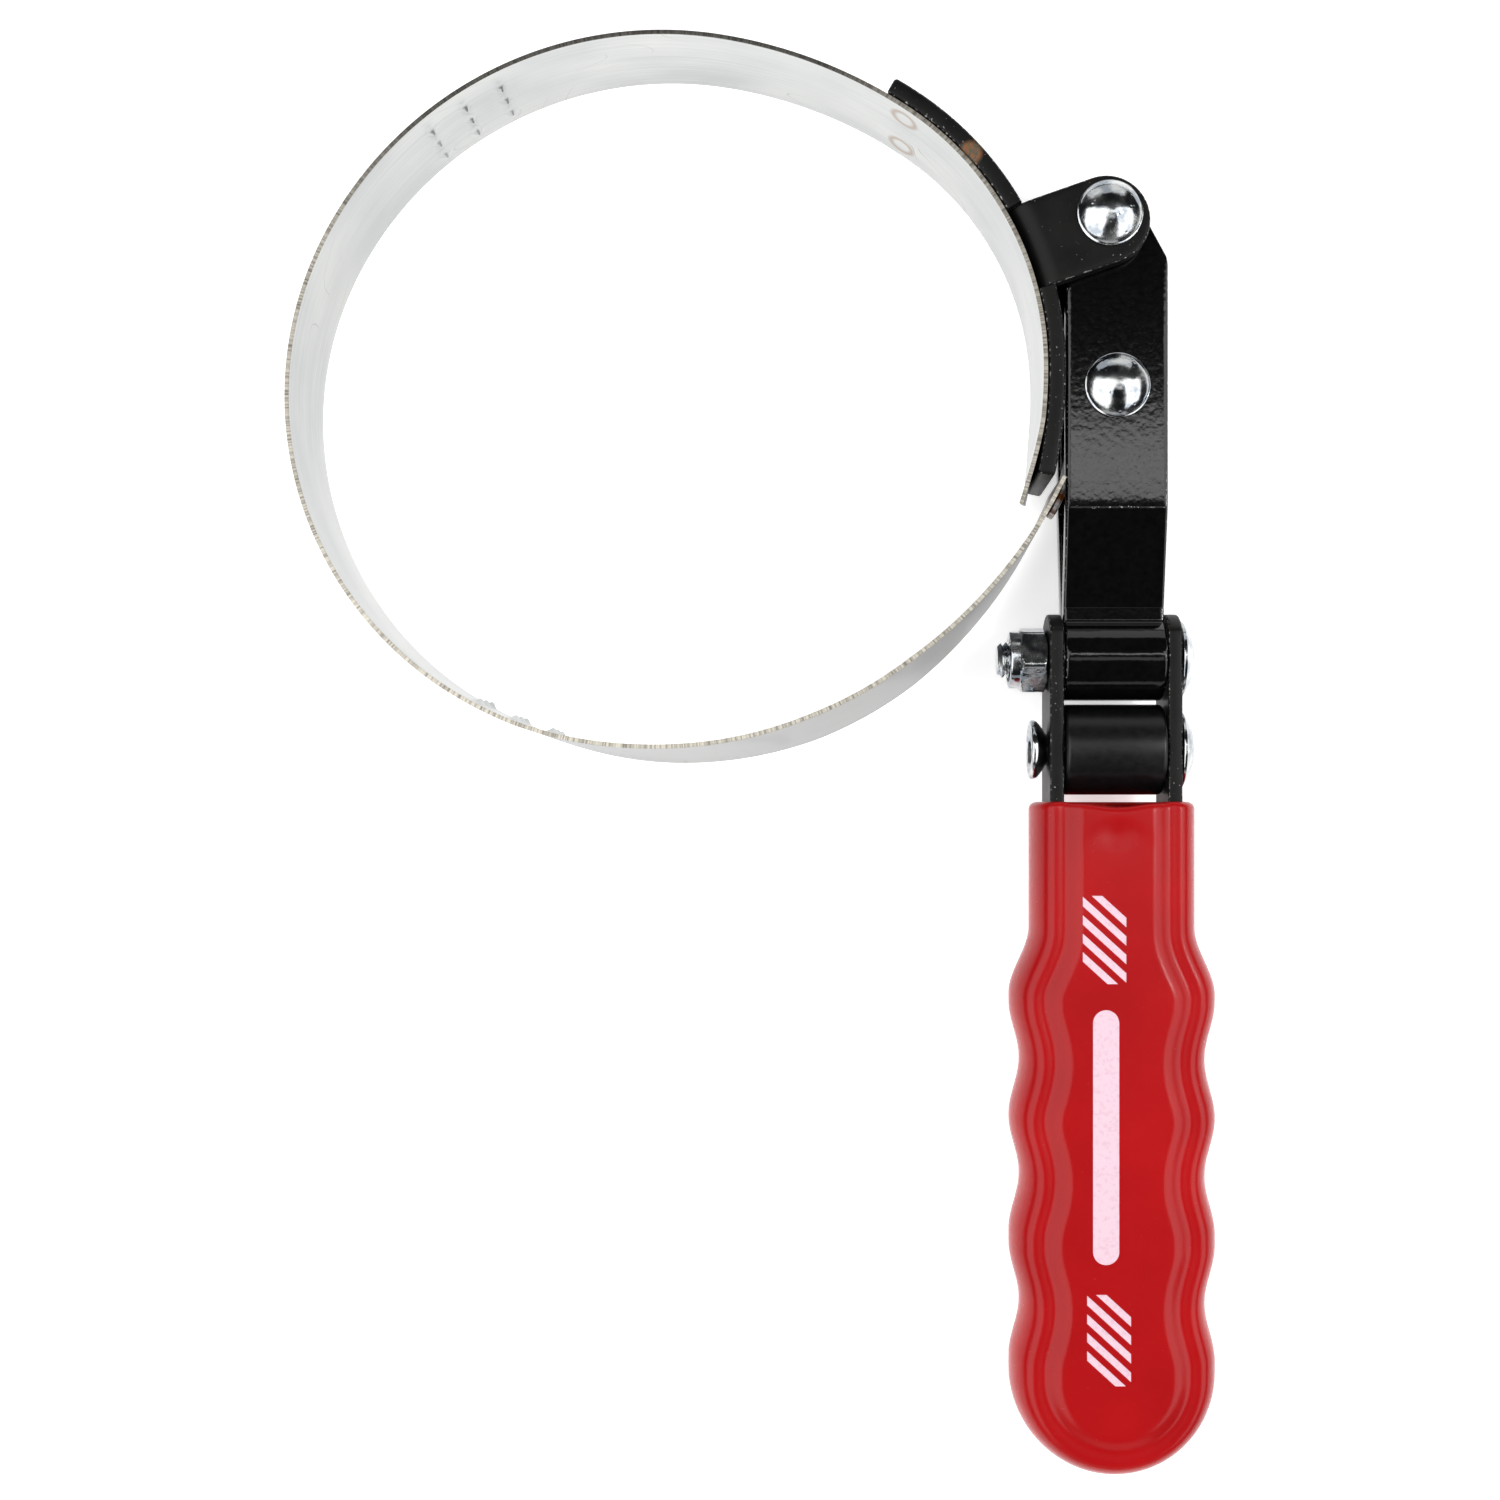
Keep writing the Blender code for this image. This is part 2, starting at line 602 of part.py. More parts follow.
def build():
    clear_scene()
    bracket_steel = material("satin_black_steel", (0.03, 0.03, 0.03), 0.5, 0.2)
    band_steel = material("stainless_band", (0.72, 0.72, 0.7), 0.3, 1.0)
    gloss_paint = material("gloss_black_paint", (0.012, 0.012, 0.013), 0.15)
    zinc = material("zinc_plate", (0.75, 0.77, 0.8), 0.15, 1.0)
    nylon = material("nylon", (0.5, 0.52, 0.55), 0.4)
    plastic = material("black_plastic", (0.02, 0.02, 0.022), 0.45)
    vinyl = material("red_vinyl", (0.65, 0.02, 0.02), 0.2)

    root = pivot("wrench", (0.0, 0.0, 0.0), None)
    hang(make_bracket(bracket_steel), root)
    hang(make_rivet("pivot_rivet", ARM_PIVOT, PIVOT_SHANK, BAND_WIDTH / 2, zinc), root)
    clamped, *segments = make_band(band_steel)
    hang(clamped, root)
    holder = root
    for i, (stop, segment) in enumerate(zip(band_stops(), segments), 1):
        x, y, _ = band_point(stop)
        holder = pivot(f"band_hinge_{i:02d}", (x, y, 0.0), holder)
        hang(segment, holder)
    hang(make_link(band_steel), holder)

    swing = pivot("swing_axis", (*ARM_PIVOT, 0.0), root)
    hang(make_arm(gloss_paint), swing)
    hang(make_rivet("link_rivet", LINK_PIVOT, LINK_SHANK, ARM_HALF_DEPTH, zinc), swing)

    swivel = pivot("swivel_axis", (0.0, 0.0, 0.0), swing)
    nut, ring = make_nut(zinc)
    for piece in (make_yoke(bracket_steel), make_bolt(zinc), nut, make_insert(ring, nylon)):
        hang(piece, swivel)
    hang(make_cross_rivet(zinc), swivel)
    hang(make_grip(vinyl), swivel)
    hang(make_spacer(plastic), pivot("spacer_axis", (0.0, CROSS_RIVET_Y, 0.0), swivel))
    stand_on_origin(root)


build()
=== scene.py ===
import json
import math

import bmesh
import bpy
import numpy as np
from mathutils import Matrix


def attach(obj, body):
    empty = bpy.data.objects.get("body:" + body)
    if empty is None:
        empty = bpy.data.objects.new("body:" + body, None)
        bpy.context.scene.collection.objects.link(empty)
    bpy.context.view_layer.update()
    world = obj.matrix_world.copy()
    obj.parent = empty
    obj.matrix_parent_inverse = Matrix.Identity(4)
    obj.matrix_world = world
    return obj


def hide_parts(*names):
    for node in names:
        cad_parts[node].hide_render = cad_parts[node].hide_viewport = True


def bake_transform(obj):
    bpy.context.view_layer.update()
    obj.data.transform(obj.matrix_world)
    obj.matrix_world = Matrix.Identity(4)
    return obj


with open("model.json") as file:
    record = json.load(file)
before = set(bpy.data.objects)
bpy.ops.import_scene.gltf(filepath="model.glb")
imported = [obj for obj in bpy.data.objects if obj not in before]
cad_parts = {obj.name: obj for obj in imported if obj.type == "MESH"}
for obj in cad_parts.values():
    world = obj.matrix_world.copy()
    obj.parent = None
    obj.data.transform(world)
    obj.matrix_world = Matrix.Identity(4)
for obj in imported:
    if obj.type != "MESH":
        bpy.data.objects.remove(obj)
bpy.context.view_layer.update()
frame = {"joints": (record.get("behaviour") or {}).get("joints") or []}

# ---------------------------------------------------------------- studio
# A pale acrylic table lit from below, two large panels overhead with a gap between them, and low panels
# in front and behind. The gap stays dark, so that flat black paint looks black and not grey. Two narrow
# strips in the gap draw the soft lines on the arm and the grip.


def colour(code):
    """Linear colour of an sRGB hex code: c / 12.92 up to 0.04045, then ((c + 0.055) / 1.055) ** 2.4."""
    channels = np.array([int(code[i:i + 2], 16) for i in (1, 3, 5)]) / 255.0
    linear = np.where(channels <= 0.04045, channels / 12.92, ((channels + 0.055) / 1.055) ** 2.4)
    return (*linear.tolist(), 1.0)


def node(tree, kind, inputs=None, stops=None, **settings):
    """Add a shader node, or set one that is there; a node given as an input stands for its first output."""
    made = tree.nodes.new("ShaderNode" + kind) if isinstance(kind, str) else kind
    for key, value in settings.items():
        setattr(made, key, value)
    if stops:
        made.color_ramp.elements[0].position, made.color_ramp.elements[0].color = stops[0]
        made.color_ramp.elements[1].position, made.color_ramp.elements[1].color = stops[-1]
        for place, shade in stops[1:-1]:
            made.color_ramp.elements.new(place).color = shade
    for key, value in (inputs or {}).items():
        value = value.outputs[0] if isinstance(value, bpy.types.Node) else value
        if isinstance(value, bpy.types.NodeSocket):
            tree.links.new(value, made.inputs[key])
        else:
            made.inputs[key].default_value = value
    return made


def finish(name, **values):
    """New material and its tree and shader; values are plain sockets, with _ for a space in the name."""
    made = bpy.data.materials.new(name)
    made.use_nodes = True
    shader = made.node_tree.nodes["Principled BSDF"]
    for key, value in values.items():
        shader.inputs[key.replace("_", " ")].default_value = value
    return made, made.node_tree, shader


TABLE_HALF = 3.0
TABLE_DROP = 0.0005
CAMERA_AT = (0.01227, -0.00816, 0.31275)
CAMERA_LENS = 43.56
CAMERA_SHIFT = (-0.0547, 0.0413)
# Name, middle and size in metres, power in watts, and turn in degrees of those that hang level.
LIGHTS = (
    ("left_panel", (-1.07, -0.31, 1.00), (1.80, 1.94), 26.0, -17.5),
    ("right_panel", (1.48, -0.31, 1.00), (1.80, 1.94), 26.0, 17.5),
    ("back_panel", (0.00, 1.70, 0.50), (2.40, 0.80), 6.0, None),
    ("front_panel", (0.00, -2.10, 0.60), (2.40, 0.50), 2.5, None),
    ("grip_strip", (0.20, 0.00, 1.00), (0.30, 0.14), 0.12, 0.0),
    ("arm_strip", (0.22, 0.235, 1.00), (0.30, 0.07), 0.22, 0.0),
)
LIGHT_AIM = (0.0, 0.0, 0.01)
# A soft pool of light on the grip's upper end, from the side.
POOL_FROM = (0.75, 0.15, 1.10)
POOL_AT = (0.058, -0.025, 0.02)
POOL_ANGLE = 6.5
POOL_POWER = 45.0
POOL_SOFTNESS = 0.1
ROOM_GLOW = 0.03
SENSOR_WIDTH = 36.0
SEEN_FROM, SEEN_TO = 0.01, 20.0

table_acrylic, tree, shader = finish("lit_white_acrylic", Roughness=0.9, Specular_IOR_Level=0.1,
                                     Emission_Strength=0.55)
place = node(tree, "TexCoord").outputs["Object"]
clouds = node(tree, "TexNoise", {"Vector": place, "Scale": 2.0, "Detail": 1.0})
tint = node(tree, "ValToRGB", {"Fac": clouds}, [(0.3, colour("#F6F6F6")), (0.7, colour("#FAFAFA"))])
node(tree, shader, {"Base Color": tint, "Emission Color": tint})

corners = TABLE_HALF * np.array([(-1, -1), (1, -1), (1, 1), (-1, 1)])
table_mesh = bpy.data.meshes.new("table")
table_mesh.from_pydata([(x, y, -TABLE_DROP) for x, y in corners.tolist()], [], [(0, 1, 2, 3)])
table_mesh.materials.append(table_acrylic)
table = bpy.data.objects.new("table", table_mesh)
bpy.context.scene.collection.objects.link(table)


def hang(light, power, spot, target, turn=None):
    """Put up a light at a spot, facing its target, or level and turned in degrees about the vertical."""
    light.energy = power
    lamp = bpy.data.objects.new(light.name, light)
    lamp.location = spot
    aim = np.array(target) - np.array(spot)
    pitch = math.atan2(math.hypot(aim[0], aim[1]), -aim[2])
    heading = math.atan2(aim[1], aim[0]) - math.pi / 2
    lamp.rotation_euler = (pitch, 0.0, heading) if turn is None else (0.0, 0.0, math.radians(turn))
    bpy.context.scene.collection.objects.link(lamp)


for name, middle, size, power, turn in LIGHTS:
    panel = bpy.data.lights.new(name, "AREA")
    panel.shape = "RECTANGLE"
    panel.size, panel.size_y = size
    hang(panel, power, middle, LIGHT_AIM, turn)
pool = bpy.data.lights.new("grip_pool", "SPOT")
pool.spot_size = math.radians(POOL_ANGLE)
pool.spot_blend = 1.0
pool.shadow_soft_size = POOL_SOFTNESS
hang(pool, POOL_POWER, POOL_FROM, POOL_AT)

world = bpy.data.worlds.new("room")
world.use_nodes = True
node(world.node_tree, world.node_tree.nodes["Background"],
     {"Color": colour("#FFFFFF"), "Strength": ROOM_GLOW})
bpy.context.scene.world = world
bpy.context.scene.view_settings.view_transform = "Standard"

camera_data = bpy.data.cameras.new("camera")
camera_data.sensor_width = SENSOR_WIDTH
camera_data.lens = CAMERA_LENS
camera_data.shift_x, camera_data.shift_y = CAMERA_SHIFT
camera_data.clip_start, camera_data.clip_end = SEEN_FROM, SEEN_TO
camera = bpy.data.objects.new("camera", camera_data)
camera.location = CAMERA_AT
bpy.context.scene.collection.objects.link(camera)
bpy.context.scene.camera = camera

# ---------------------------------------------------------------- band
# One strip of thin cold-rolled stainless spring steel, slit to width, with a sheared edge that carries
# painted shade and a painted highlight along its length.
# Two groups of nine dimples are pressed into it to bite on the filter. It is spot welded to the saddle.
# The strip is made in eleven lengths, ten of them round the CAD model's hinges, and they join without a
# step.

MM = 0.001
zero = np.array(next(j for j in frame["joints"] if j["name"] == "handle_swivel")["pos_m"])
MERGE = 1e-7
BAND_START = (-15.1, 23.9)
BAND_HEADING = 73.3
BAND_ARCS = (
    (76.0, 17.7), (49.3, 56.4), (76.6, 23.5), (60.5, 71.2), (55.6, 88.0), (65.4, 66.2), (77.8, 30.0),
)
BAND_HALF_WIDTH = 10.0
BAND_HALF_THICKNESS = 0.35
BAND_EDGE = 0.1
BAND_HINGE_START = 68.5
BAND_HINGES = 10
BAND_FIXED_END = 76.0
END_SLANT = 3.6
END_SLANT_REACH = 8.0
FLEX_REACH = 9.0
DIMPLES_AT = (140.9, 147.6, 154.3, 265.9, 272.4, 278.9)
DIMPLE_ROWS = (4.3, -0.7, -5.7)
DIMPLE_HEIGHT = 1.0
DIMPLE_SPREAD = 0.55
DIMPLE_REACH = 2.4
FINE_ROW = 0.3
PLAIN_ROW = 1.2
# How far the front edge leans into the loop, at distances along the band.
TWIST_AT = (0.0, 4.0, 14.0, 273.0, 280.0, 286.0, 292.0, 298.5, 322.5, 341.0, 347.0, 360.0, 371.0, 380.0)
TWIST_LEANS = (1.6, 1.4, 0.0, 0.0, 0.4, 0.9, 1.4, 1.8, 2.8, 2.7, 2.3, 1.4, 0.5, 0.0)


def trace(start, heading, moves, distances):
    """Points and headings at distances along a path of (length, turn in degrees) moves.
    Within a move the chord is u sinc(t / 2) long and runs at the mean heading, for a length u and turn t."""
    lengths = np.array([move[0] for move in moves], float)
    turns = np.radians([move[1] for move in moves])
    begins = np.concatenate([[0.0], np.cumsum(lengths)])
    headings = math.radians(heading) + np.concatenate([[0.0], np.cumsum(turns)])
    means = headings[:-1] + turns / 2
    chords = lengths * np.sinc(turns / 2 / math.pi)
    steps = np.stack([chords * np.cos(means), chords * np.sin(means)], axis=1)
    corners = np.array(start, float) + np.concatenate([np.zeros((1, 2)), np.cumsum(steps, axis=0)])
    distances = np.asarray(distances, float)
    move = np.clip(np.searchsorted(begins, distances, side="right") - 1, 0, len(moves) - 1)
    u = distances - begins[move]
    turn = turns[move] * u / lengths[move]
    chord = u * np.sinc(turn / 2 / math.pi)
    mean = headings[move] + turn / 2
    points = corners[move] + np.stack([chord * np.cos(mean), chord * np.sin(mean)], axis=-1)
    return points, headings[move] + turn


def section(across):
    """Round a unit strip's section: share of the half width, side (1 top, -1 bottom), and the sine and
    cosine of the turn round each corner, 0 on the flats and 90 degrees at the middle of the edge."""
    flat = np.linspace(-1.0, 1.0, across)
    turn = np.linspace(0.0, math.pi / 2, 5)
    share = np.concatenate([flat, np.ones(10), -flat, -np.ones(10)])
    side = np.repeat([1.0, 1.0, -1.0, -1.0, -1.0, 1.0], [across, 5, 5, across, 5, 5])
    turn = np.concatenate([np.zeros(across), turn, turn[::-1]] * 2)
    return share, side, np.sin(turn), np.cos(turn)


def strip(rows, limits, half, edge, across, square=False):
    """Grid over a strip with rounded edges: across, along, height and edge mark, as (rows, columns) arrays.
    limits(along, inset) gives both sides of the outline moved in by inset; corners are quarter circles of
    radius edge. Pointed ends close where both sides meet, and square ends are rounded like the edges."""
    share, side, sine, cosine = section(across)
    rows = np.asarray(rows, float)
    turn = np.linspace(math.pi / 2, 0.0, 5) if square else np.zeros(0)
    ends = edge * (1.0 - np.sin(turn))
    inner = rows[(rows > rows[0] + edge) & (rows < rows[-1] - edge)] if square else rows
    shrink = np.concatenate([edge * (1.0 - np.cos(turn)), 0.0 * inner, edge * (1.0 - np.cos(turn))[::-1]])
    low, high = rows[0], rows[-1]
    rows = np.concatenate([low + ends, inner, (high - ends)[::-1]])[:, None]
    mark = np.maximum(np.sin(math.pi * shrink / max(edge, 1e-9))[:, None], 2.0 * sine * cosine)
    radius = edge - shrink[:, None]
    inset = shrink[:, None] + radius * (1.0 - sine)
    height = side * (half - shrink[:, None] - radius * (1.0 - cosine))
    part = (rows - low) / (high - low)
    along = rows + 0.0 * inset if square else (low + inset) * (1.0 - part) + (high - inset) * part
    left, right = limits(along, inset)
    return (left + right) / 2 + share * (right - left) / 2, along, height, mark


def piece(name, body, grids, finishes, around=True, maps=None, marks=None, second=None, sharp=40.0):
    """Quads between neighbours of (rows, columns, 3) grids of points in mm from the swivel bolt's middle.
    With around, the last column meets the first, and each end closes on its middle, or on the other end
    where they are one ring. maps are UV maps in metres, and second marks columns of the second material."""
    whole, faces, picks = [], [], []
    offset = 0
    for number, points in enumerate(grids):
        extra = [maps[number]] if maps else []
        extra += [marks[number][..., None]] if marks else []
        table = np.concatenate([points] + extra, axis=2)
        if around and not np.allclose(points[0], points[-1]):
            low = np.broadcast_to(table[:1].mean(axis=1, keepdims=True), table[:1].shape)
            high = np.broadcast_to(table[-1:].mean(axis=1, keepdims=True), table[:1].shape)
            table = np.concatenate([low, table, high])
        rows, columns = table.shape[:2]
        index = offset + np.arange(rows * columns).reshape(rows, columns)
        if around:
            index = np.concatenate([index, index[:, :1]], axis=1)
        quads = np.stack([index[:-1, :-1], index[:-1, 1:], index[1:, 1:], index[1:, :-1]], axis=-1)
        faces.append(quads.reshape(-1, 4))
        if second is not None:
            picks.append(np.broadcast_to(second, quads.shape[:2]).ravel())
        whole.append(table.reshape(-1, table.shape[2]))
        offset += rows * columns
    whole = np.concatenate(whole)
    mesh = bpy.data.meshes.new(name)
    mesh.from_pydata(zero + MM * whole[:, :3], [], np.concatenate(faces))
    if maps:
        corner = np.empty(len(mesh.loops), np.int32)
        mesh.loops.foreach_get("vertex_index", corner)
        layer = mesh.uv_layers.new(name="UVMap")
        layer.data.foreach_set("uv", whole[corner, 3:5].astype(np.float32).ravel())
    if marks:
        layer = mesh.attributes.new("mark", "FLOAT", "POINT")
        layer.data.foreach_set("value", whole[:, -1].astype(np.float32))
    for material in finishes:
        mesh.materials.append(material)
    if picks:
        mesh.polygons.foreach_set("material_index", np.concatenate(picks).astype(np.int32))
    work = bmesh.new()
    work.from_mesh(mesh)
    bmesh.ops.remove_doubles(work, verts=work.verts, dist=MERGE)
    bmesh.ops.recalc_face_normals(work, faces=work.faces)
    work.to_mesh(mesh)
    work.free()
    mesh.shade_smooth()
    mesh.set_sharp_from_angle(angle=math.radians(sharp))
    made = bpy.data.objects.new(name, mesh)
    bpy.context.scene.collection.objects.link(made)
    if body:
        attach(made, body)
    return made


band_moves = [(radius * math.radians(turn), turn) for radius, turn in BAND_ARCS]
band_length = sum(length for length, _ in band_moves)


def band_surface(along, side, outward):
    """Points beside the band's middle line: along it, across it in Z, and outward from the loop."""
    middle, heading = trace(BAND_START, BAND_HEADING, band_moves, along)
    x = middle[..., 0] + outward * np.sin(heading)
    y = middle[..., 1] - outward * np.cos(heading)
    return np.stack([x, y, side], axis=-1)


# Cold-rolled stainless strip: long fine rolling lines, soft cloudy glare and a few hair scratches.
rolled, tree, shader = finish("rolled_stainless_strip", Metallic=1.0, Anisotropic=0.3)
strip_map = node(tree, "TexCoord").outputs["UV"]
lines = node(tree, "Mapping", {"Vector": strip_map, "Scale": (1000 / 45.0, 1000 / 0.35, 1.0)})
lines = node(tree, "TexNoise", {"Vector": lines, "Scale": 1.0, "Detail": 3.0})
cloud = node(tree, "Mapping", {"Vector": strip_map, "Scale": (1000 / 22.0, 1000 / 12.0, 1.0)})
cloud = node(tree, "TexNoise", {"Vector": cloud, "Scale": 1.0, "Detail": 2.0})
both = node(tree, "Math", {0: lines, 1: 0.45}, operation="MULTIPLY")
both = node(tree, "Math", {0: cloud, 1: 0.55, 2: both}, operation="MULTIPLY_ADD")
steel = node(tree, "ValToRGB", {"Fac": both}, [(0.34, colour("#AFB1B2")), (0.64, colour("#C9CAC8"))])
# Hair scratches: thin level lines of a slow noise, drawn 0.15 mm wide so that they show.
BLACK, WHITE = colour("#000000"), colour("#FFFFFF")
hair = node(tree, "Mapping", {"Vector": strip_map, "Scale": (1000 / 30.0, 1000 / 14.0, 1.0)})
hair = node(tree, "TexNoise", {"Vector": hair, "Scale": 1.0, "Detail": 0.0})
hair = node(tree, "Math", {0: hair, 1: 9.0}, operation="MULTIPLY")
hair = node(tree, "Math", {0: hair}, operation="FRACT")
hair = node(tree, "ValToRGB", {"Fac": hair}, [(0.49, BLACK), (0.5, WHITE), (0.51, BLACK)])
hair_mask = node(tree, "ValToRGB", {"Fac": cloud}, [(0.52, BLACK), (0.62, WHITE)])
hair = node(tree, "Math", {0: hair, 1: hair_mask}, operation="MULTIPLY")
scratched = node(tree, "MixRGB", {"Fac": hair, "Color1": steel, "Color2": colour("#8B8B88")})
# Two spot welds to the saddle: brown rings of heat tint.
WELD_AT = (0.0715, 0.0058, 0.0)
WELD_RING = 0.0021
flat = node(tree, "SeparateXYZ", {"Vector": strip_map})
folded = node(tree, "Math", {0: flat.outputs["Y"]}, operation="ABSOLUTE")
weld = node(tree, "CombineXYZ", {"X": flat.outputs["X"], "Y": folded})
weld = node(tree, "VectorMath", {0: weld, 1: WELD_AT}, operation="DISTANCE")
ring = node(tree, "Math", {0: weld.outputs["Value"], 1: WELD_RING}, operation="SUBTRACT")
ring = node(tree, "Math", {0: ring}, operation="ABSOLUTE")
ring = node(tree, "MapRange", {"Value": ring, "From Min": 0.0001, "From Max": 0.0008, "To Min": 0.6,
                               "To Max": 0.0})
welded = node(tree, "MixRGB", {"Fac": ring, "Color1": scratched, "Color2": colour("#8A6A4A")})
# Heat tint where the link is welded on, at the loose end.
HEAT_AT = 0.3775
heat = node(tree, "Math", {0: flat.outputs["X"], 1: HEAT_AT}, operation="SUBTRACT")
heat = node(tree, "Math", {0: heat}, operation="ABSOLUTE")
heat = node(tree, "MapRange", {"Value": heat, "From Min": 0.003, "From Max": 0.007, "To Min": 1.0,
                               "To Max": 0.0})
scorch = node(tree, "TexNoise", {"Vector": strip_map, "Scale": 1000 / 1.6, "Detail": 3.0})
scorch = node(tree, "MapRange", {"Value": scorch, "From Min": 0.4, "From Max": 0.6, "To Min": 0.25})
heat = node(tree, "Math", {0: heat, 1: scorch}, operation="MULTIPLY")
tinted = node(tree, "MixRGB", {"Fac": heat, "Color1": welded, "Color2": colour("#5E3416")})
# The outer face is drawn darker than the inner face, by a flat multiply through the mark attribute.
outside = node(tree, "Attribute", attribute_name="mark").outputs["Fac"]
outside = node(tree, "Math", {0: outside, 1: 0.9}, operation="MULTIPLY")
tinted = node(tree, "MixRGB", {"Fac": outside, "Color1": tinted, "Color2": colour("#A2A2A2")},
              blend_type="MULTIPLY")
gloss = node(tree, "MapRange", {"Value": both, "To Min": 0.26, "To Max": 0.42})
rise = node(tree, "Bump", {"Height": lines, "Strength": 0.35, "Distance": 0.00002})
node(tree, shader, {"Base Color": tinted, "Roughness": gloss, "Normal": rise})

# Sheared edge of the strip: torn grain in cream and black specks, dull beside the rolled faces, with painted
# shade and a painted highlight in stretches along its length.
sheared, tree, shader = finish("sheared_strip_edge", Metallic=0.2)
strip_map = node(tree, "TexCoord").outputs["UV"]
flat = node(tree, "SeparateXYZ", {"Vector": strip_map})
grain = node(tree, "TexNoise", {"Vector": strip_map, "Scale": 1000 / 0.3, "Detail": 4.0})
# Painted reflection by distance along the band: painted shade from 85 to 155 mm, and a painted highlight
# round 250 mm.
painted_edge_reflection = node(tree, "ValToRGB", {"Fac": flat.outputs["X"]},
            [(0.0, colour("#D0D0D0")), (0.072, colour("#B0B0B0")), (0.085, colour("#5A5A5A")),
             (0.155, colour("#666666")), (0.18, colour("#DADADA")), (0.25, colour("#FFFFFF")),
             (0.38, colour("#E0E0E0"))])
torn = node(tree, "ValToRGB", {"Fac": grain},
            [(0.34, colour("#857F74")), (0.45, colour("#B5AFA2")), (0.6, colour("#DFD9CB"))])
edge_tone = node(tree, "MixRGB", {"Fac": 1.0, "Color1": torn, "Color2": painted_edge_reflection}, blend_type="MULTIPLY")
rise = node(tree, "Bump", {"Height": grain, "Strength": 0.5, "Distance": 0.0001})
node(tree, shader, {"Base Color": edge_tone, "Roughness": 0.5, "Normal": rise})

hinge_pitch = (band_length - BAND_HINGE_START) / BAND_HINGES
hinges = BAND_HINGE_START + hinge_pitch * (np.arange(BAND_HINGES) + 0.5)
joins = np.concatenate([[0.0, BAND_FIXED_END], (hinges[1:] + hinges[:-1]) / 2, [band_length]])
BAND_ACROSS = 41
share, face, sine, cosine = section(BAND_ACROSS)
across = share * (BAND_HALF_WIDTH - BAND_EDGE * (1.0 - sine) * (np.abs(share) > 0.999))
outward = face * (BAND_HALF_THICKNESS - BAND_EDGE * (1.0 - cosine))
following = np.roll(share, -1)
on_edge = (np.abs(share) > 0.999) & (np.abs(following) > 0.999) & (share * following > 0)
for number in range(BAND_HINGES + 1):
    low, high = joins[number], joins[number + 1]
    rows = [np.arange(low, high, PLAIN_ROW), [low + 0.15, high - 0.15]]
    rows = np.concatenate(rows + [np.arange(at - DIMPLE_REACH, at + DIMPLE_REACH + 0.1, FINE_ROW)
                                  for at in DIMPLES_AT])
    rows = np.unique(np.round(rows[(rows > low + 0.1) & (rows < high - 0.1)], 2))
    rows = np.concatenate([[low], rows[np.concatenate([[True], np.diff(rows) > 0.05])], [high]])
    side = np.broadcast_to(across, (len(rows), len(across)))
    along = rows[:, None] + 0.0 * side
    if number == 0:
        part = 0.5 - side / (2.0 * BAND_HALF_WIDTH)
        along = along + END_SLANT * part * np.clip(1.0 - along / END_SLANT_REACH, 0.0, 1.0)
    away = np.array([(along - at) ** 2 + (side - row) ** 2 for at in DIMPLES_AT for row in DIMPLE_ROWS])
    pressed = DIMPLE_HEIGHT * np.exp(-away / (2.0 * DIMPLE_SPREAD ** 2)).max(axis=0)
    lean = np.interp(rows, TWIST_AT, TWIST_LEANS)[:, None] * side / (2.0 * BAND_HALF_WIDTH)
    points = band_surface(along, side, outward - pressed - lean)
    flat_map = np.stack([along * MM, side * MM], axis=-1)
    name = f"band_strip_{number:02d}"
    outside = np.broadcast_to((face > 0.0).astype(float), side.shape)
    made = piece(name, None, [points], [rolled, sheared], maps=[flat_map], marks=[outside], second=on_edge)
    if number == 0:
        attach(made, "bracket")
        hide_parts("band_clamped_end")
    else:
        ends = np.array([hinges[number - 1] - FLEX_REACH, hinges[number - 1] + FLEX_REACH])
        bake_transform(made)
        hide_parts(f"band_segment_{number:02d}")

# ---------------------------------------------------------------- saddle bracket
# Pressed from thick mild steel: a curved saddle welded to the band, with two ears bent off its edges.
# It is finished in satin black, worn to bare steel along the corners, with a rusty weld spot.

SADDLE_FROM = 5.6
SADDLE_TO = 75.5
SADDLE_OUT = 1.9
SADDLE_HALF = 1.4
SADDLE_EDGE = 0.6
EAR_TIP = (-2.2, 69.7)
EAR_DIRECTION = 19.4
EAR_RADIUS = 7.05
EAR_BEND = 2.4
EAR_LEVEL = 8.6
EAR_FOOT = 2.0
NOTCH_LEVEL = 6.4
NOTCH_ROUND = 0.6
EAR_FADE = 9.0
RUST_SPOT = (-24.0, 80.2, 10.0)

satin_black, tree, shader = finish("satin_black_steel", Specular_IOR_Level=0.17)
place = node(tree, "TexCoord").outputs["Object"]
speck = node(tree, "TexNoise", {"Vector": place, "Scale": 1000 / 0.5, "Detail": 3.0})
patch = node(tree, "TexNoise", {"Vector": place, "Scale": 1000 / 5.0, "Detail": 2.0})
edge = node(tree, "Attribute", attribute_name="mark").outputs["Fac"]
black = node(tree, "ValToRGB", {"Fac": patch}, [(0.3, colour("#080808")), (0.7, colour("#141312"))])
wear = node(tree, "Math", {0: edge, 1: speck}, operation="MULTIPLY")
wear = node(tree, "MapRange", {"Value": wear, "From Min": 0.5, "From Max": 0.62})
chip = node(tree, "MapRange", {"Value": speck, "From Min": 0.71, "From Max": 0.74, "To Max": 0.7})
bare = node(tree, "Math", {0: wear, 1: chip}, operation="MAXIMUM")
worn = node(tree, "MixRGB", {"Fac": bare, "Color1": black, "Color2": colour("#A9A8A4")})
rust_at = tuple((zero + MM * np.array(RUST_SPOT)).tolist())
rust = node(tree, "VectorMath", {0: place, 1: rust_at}, operation="DISTANCE").outputs["Value"]
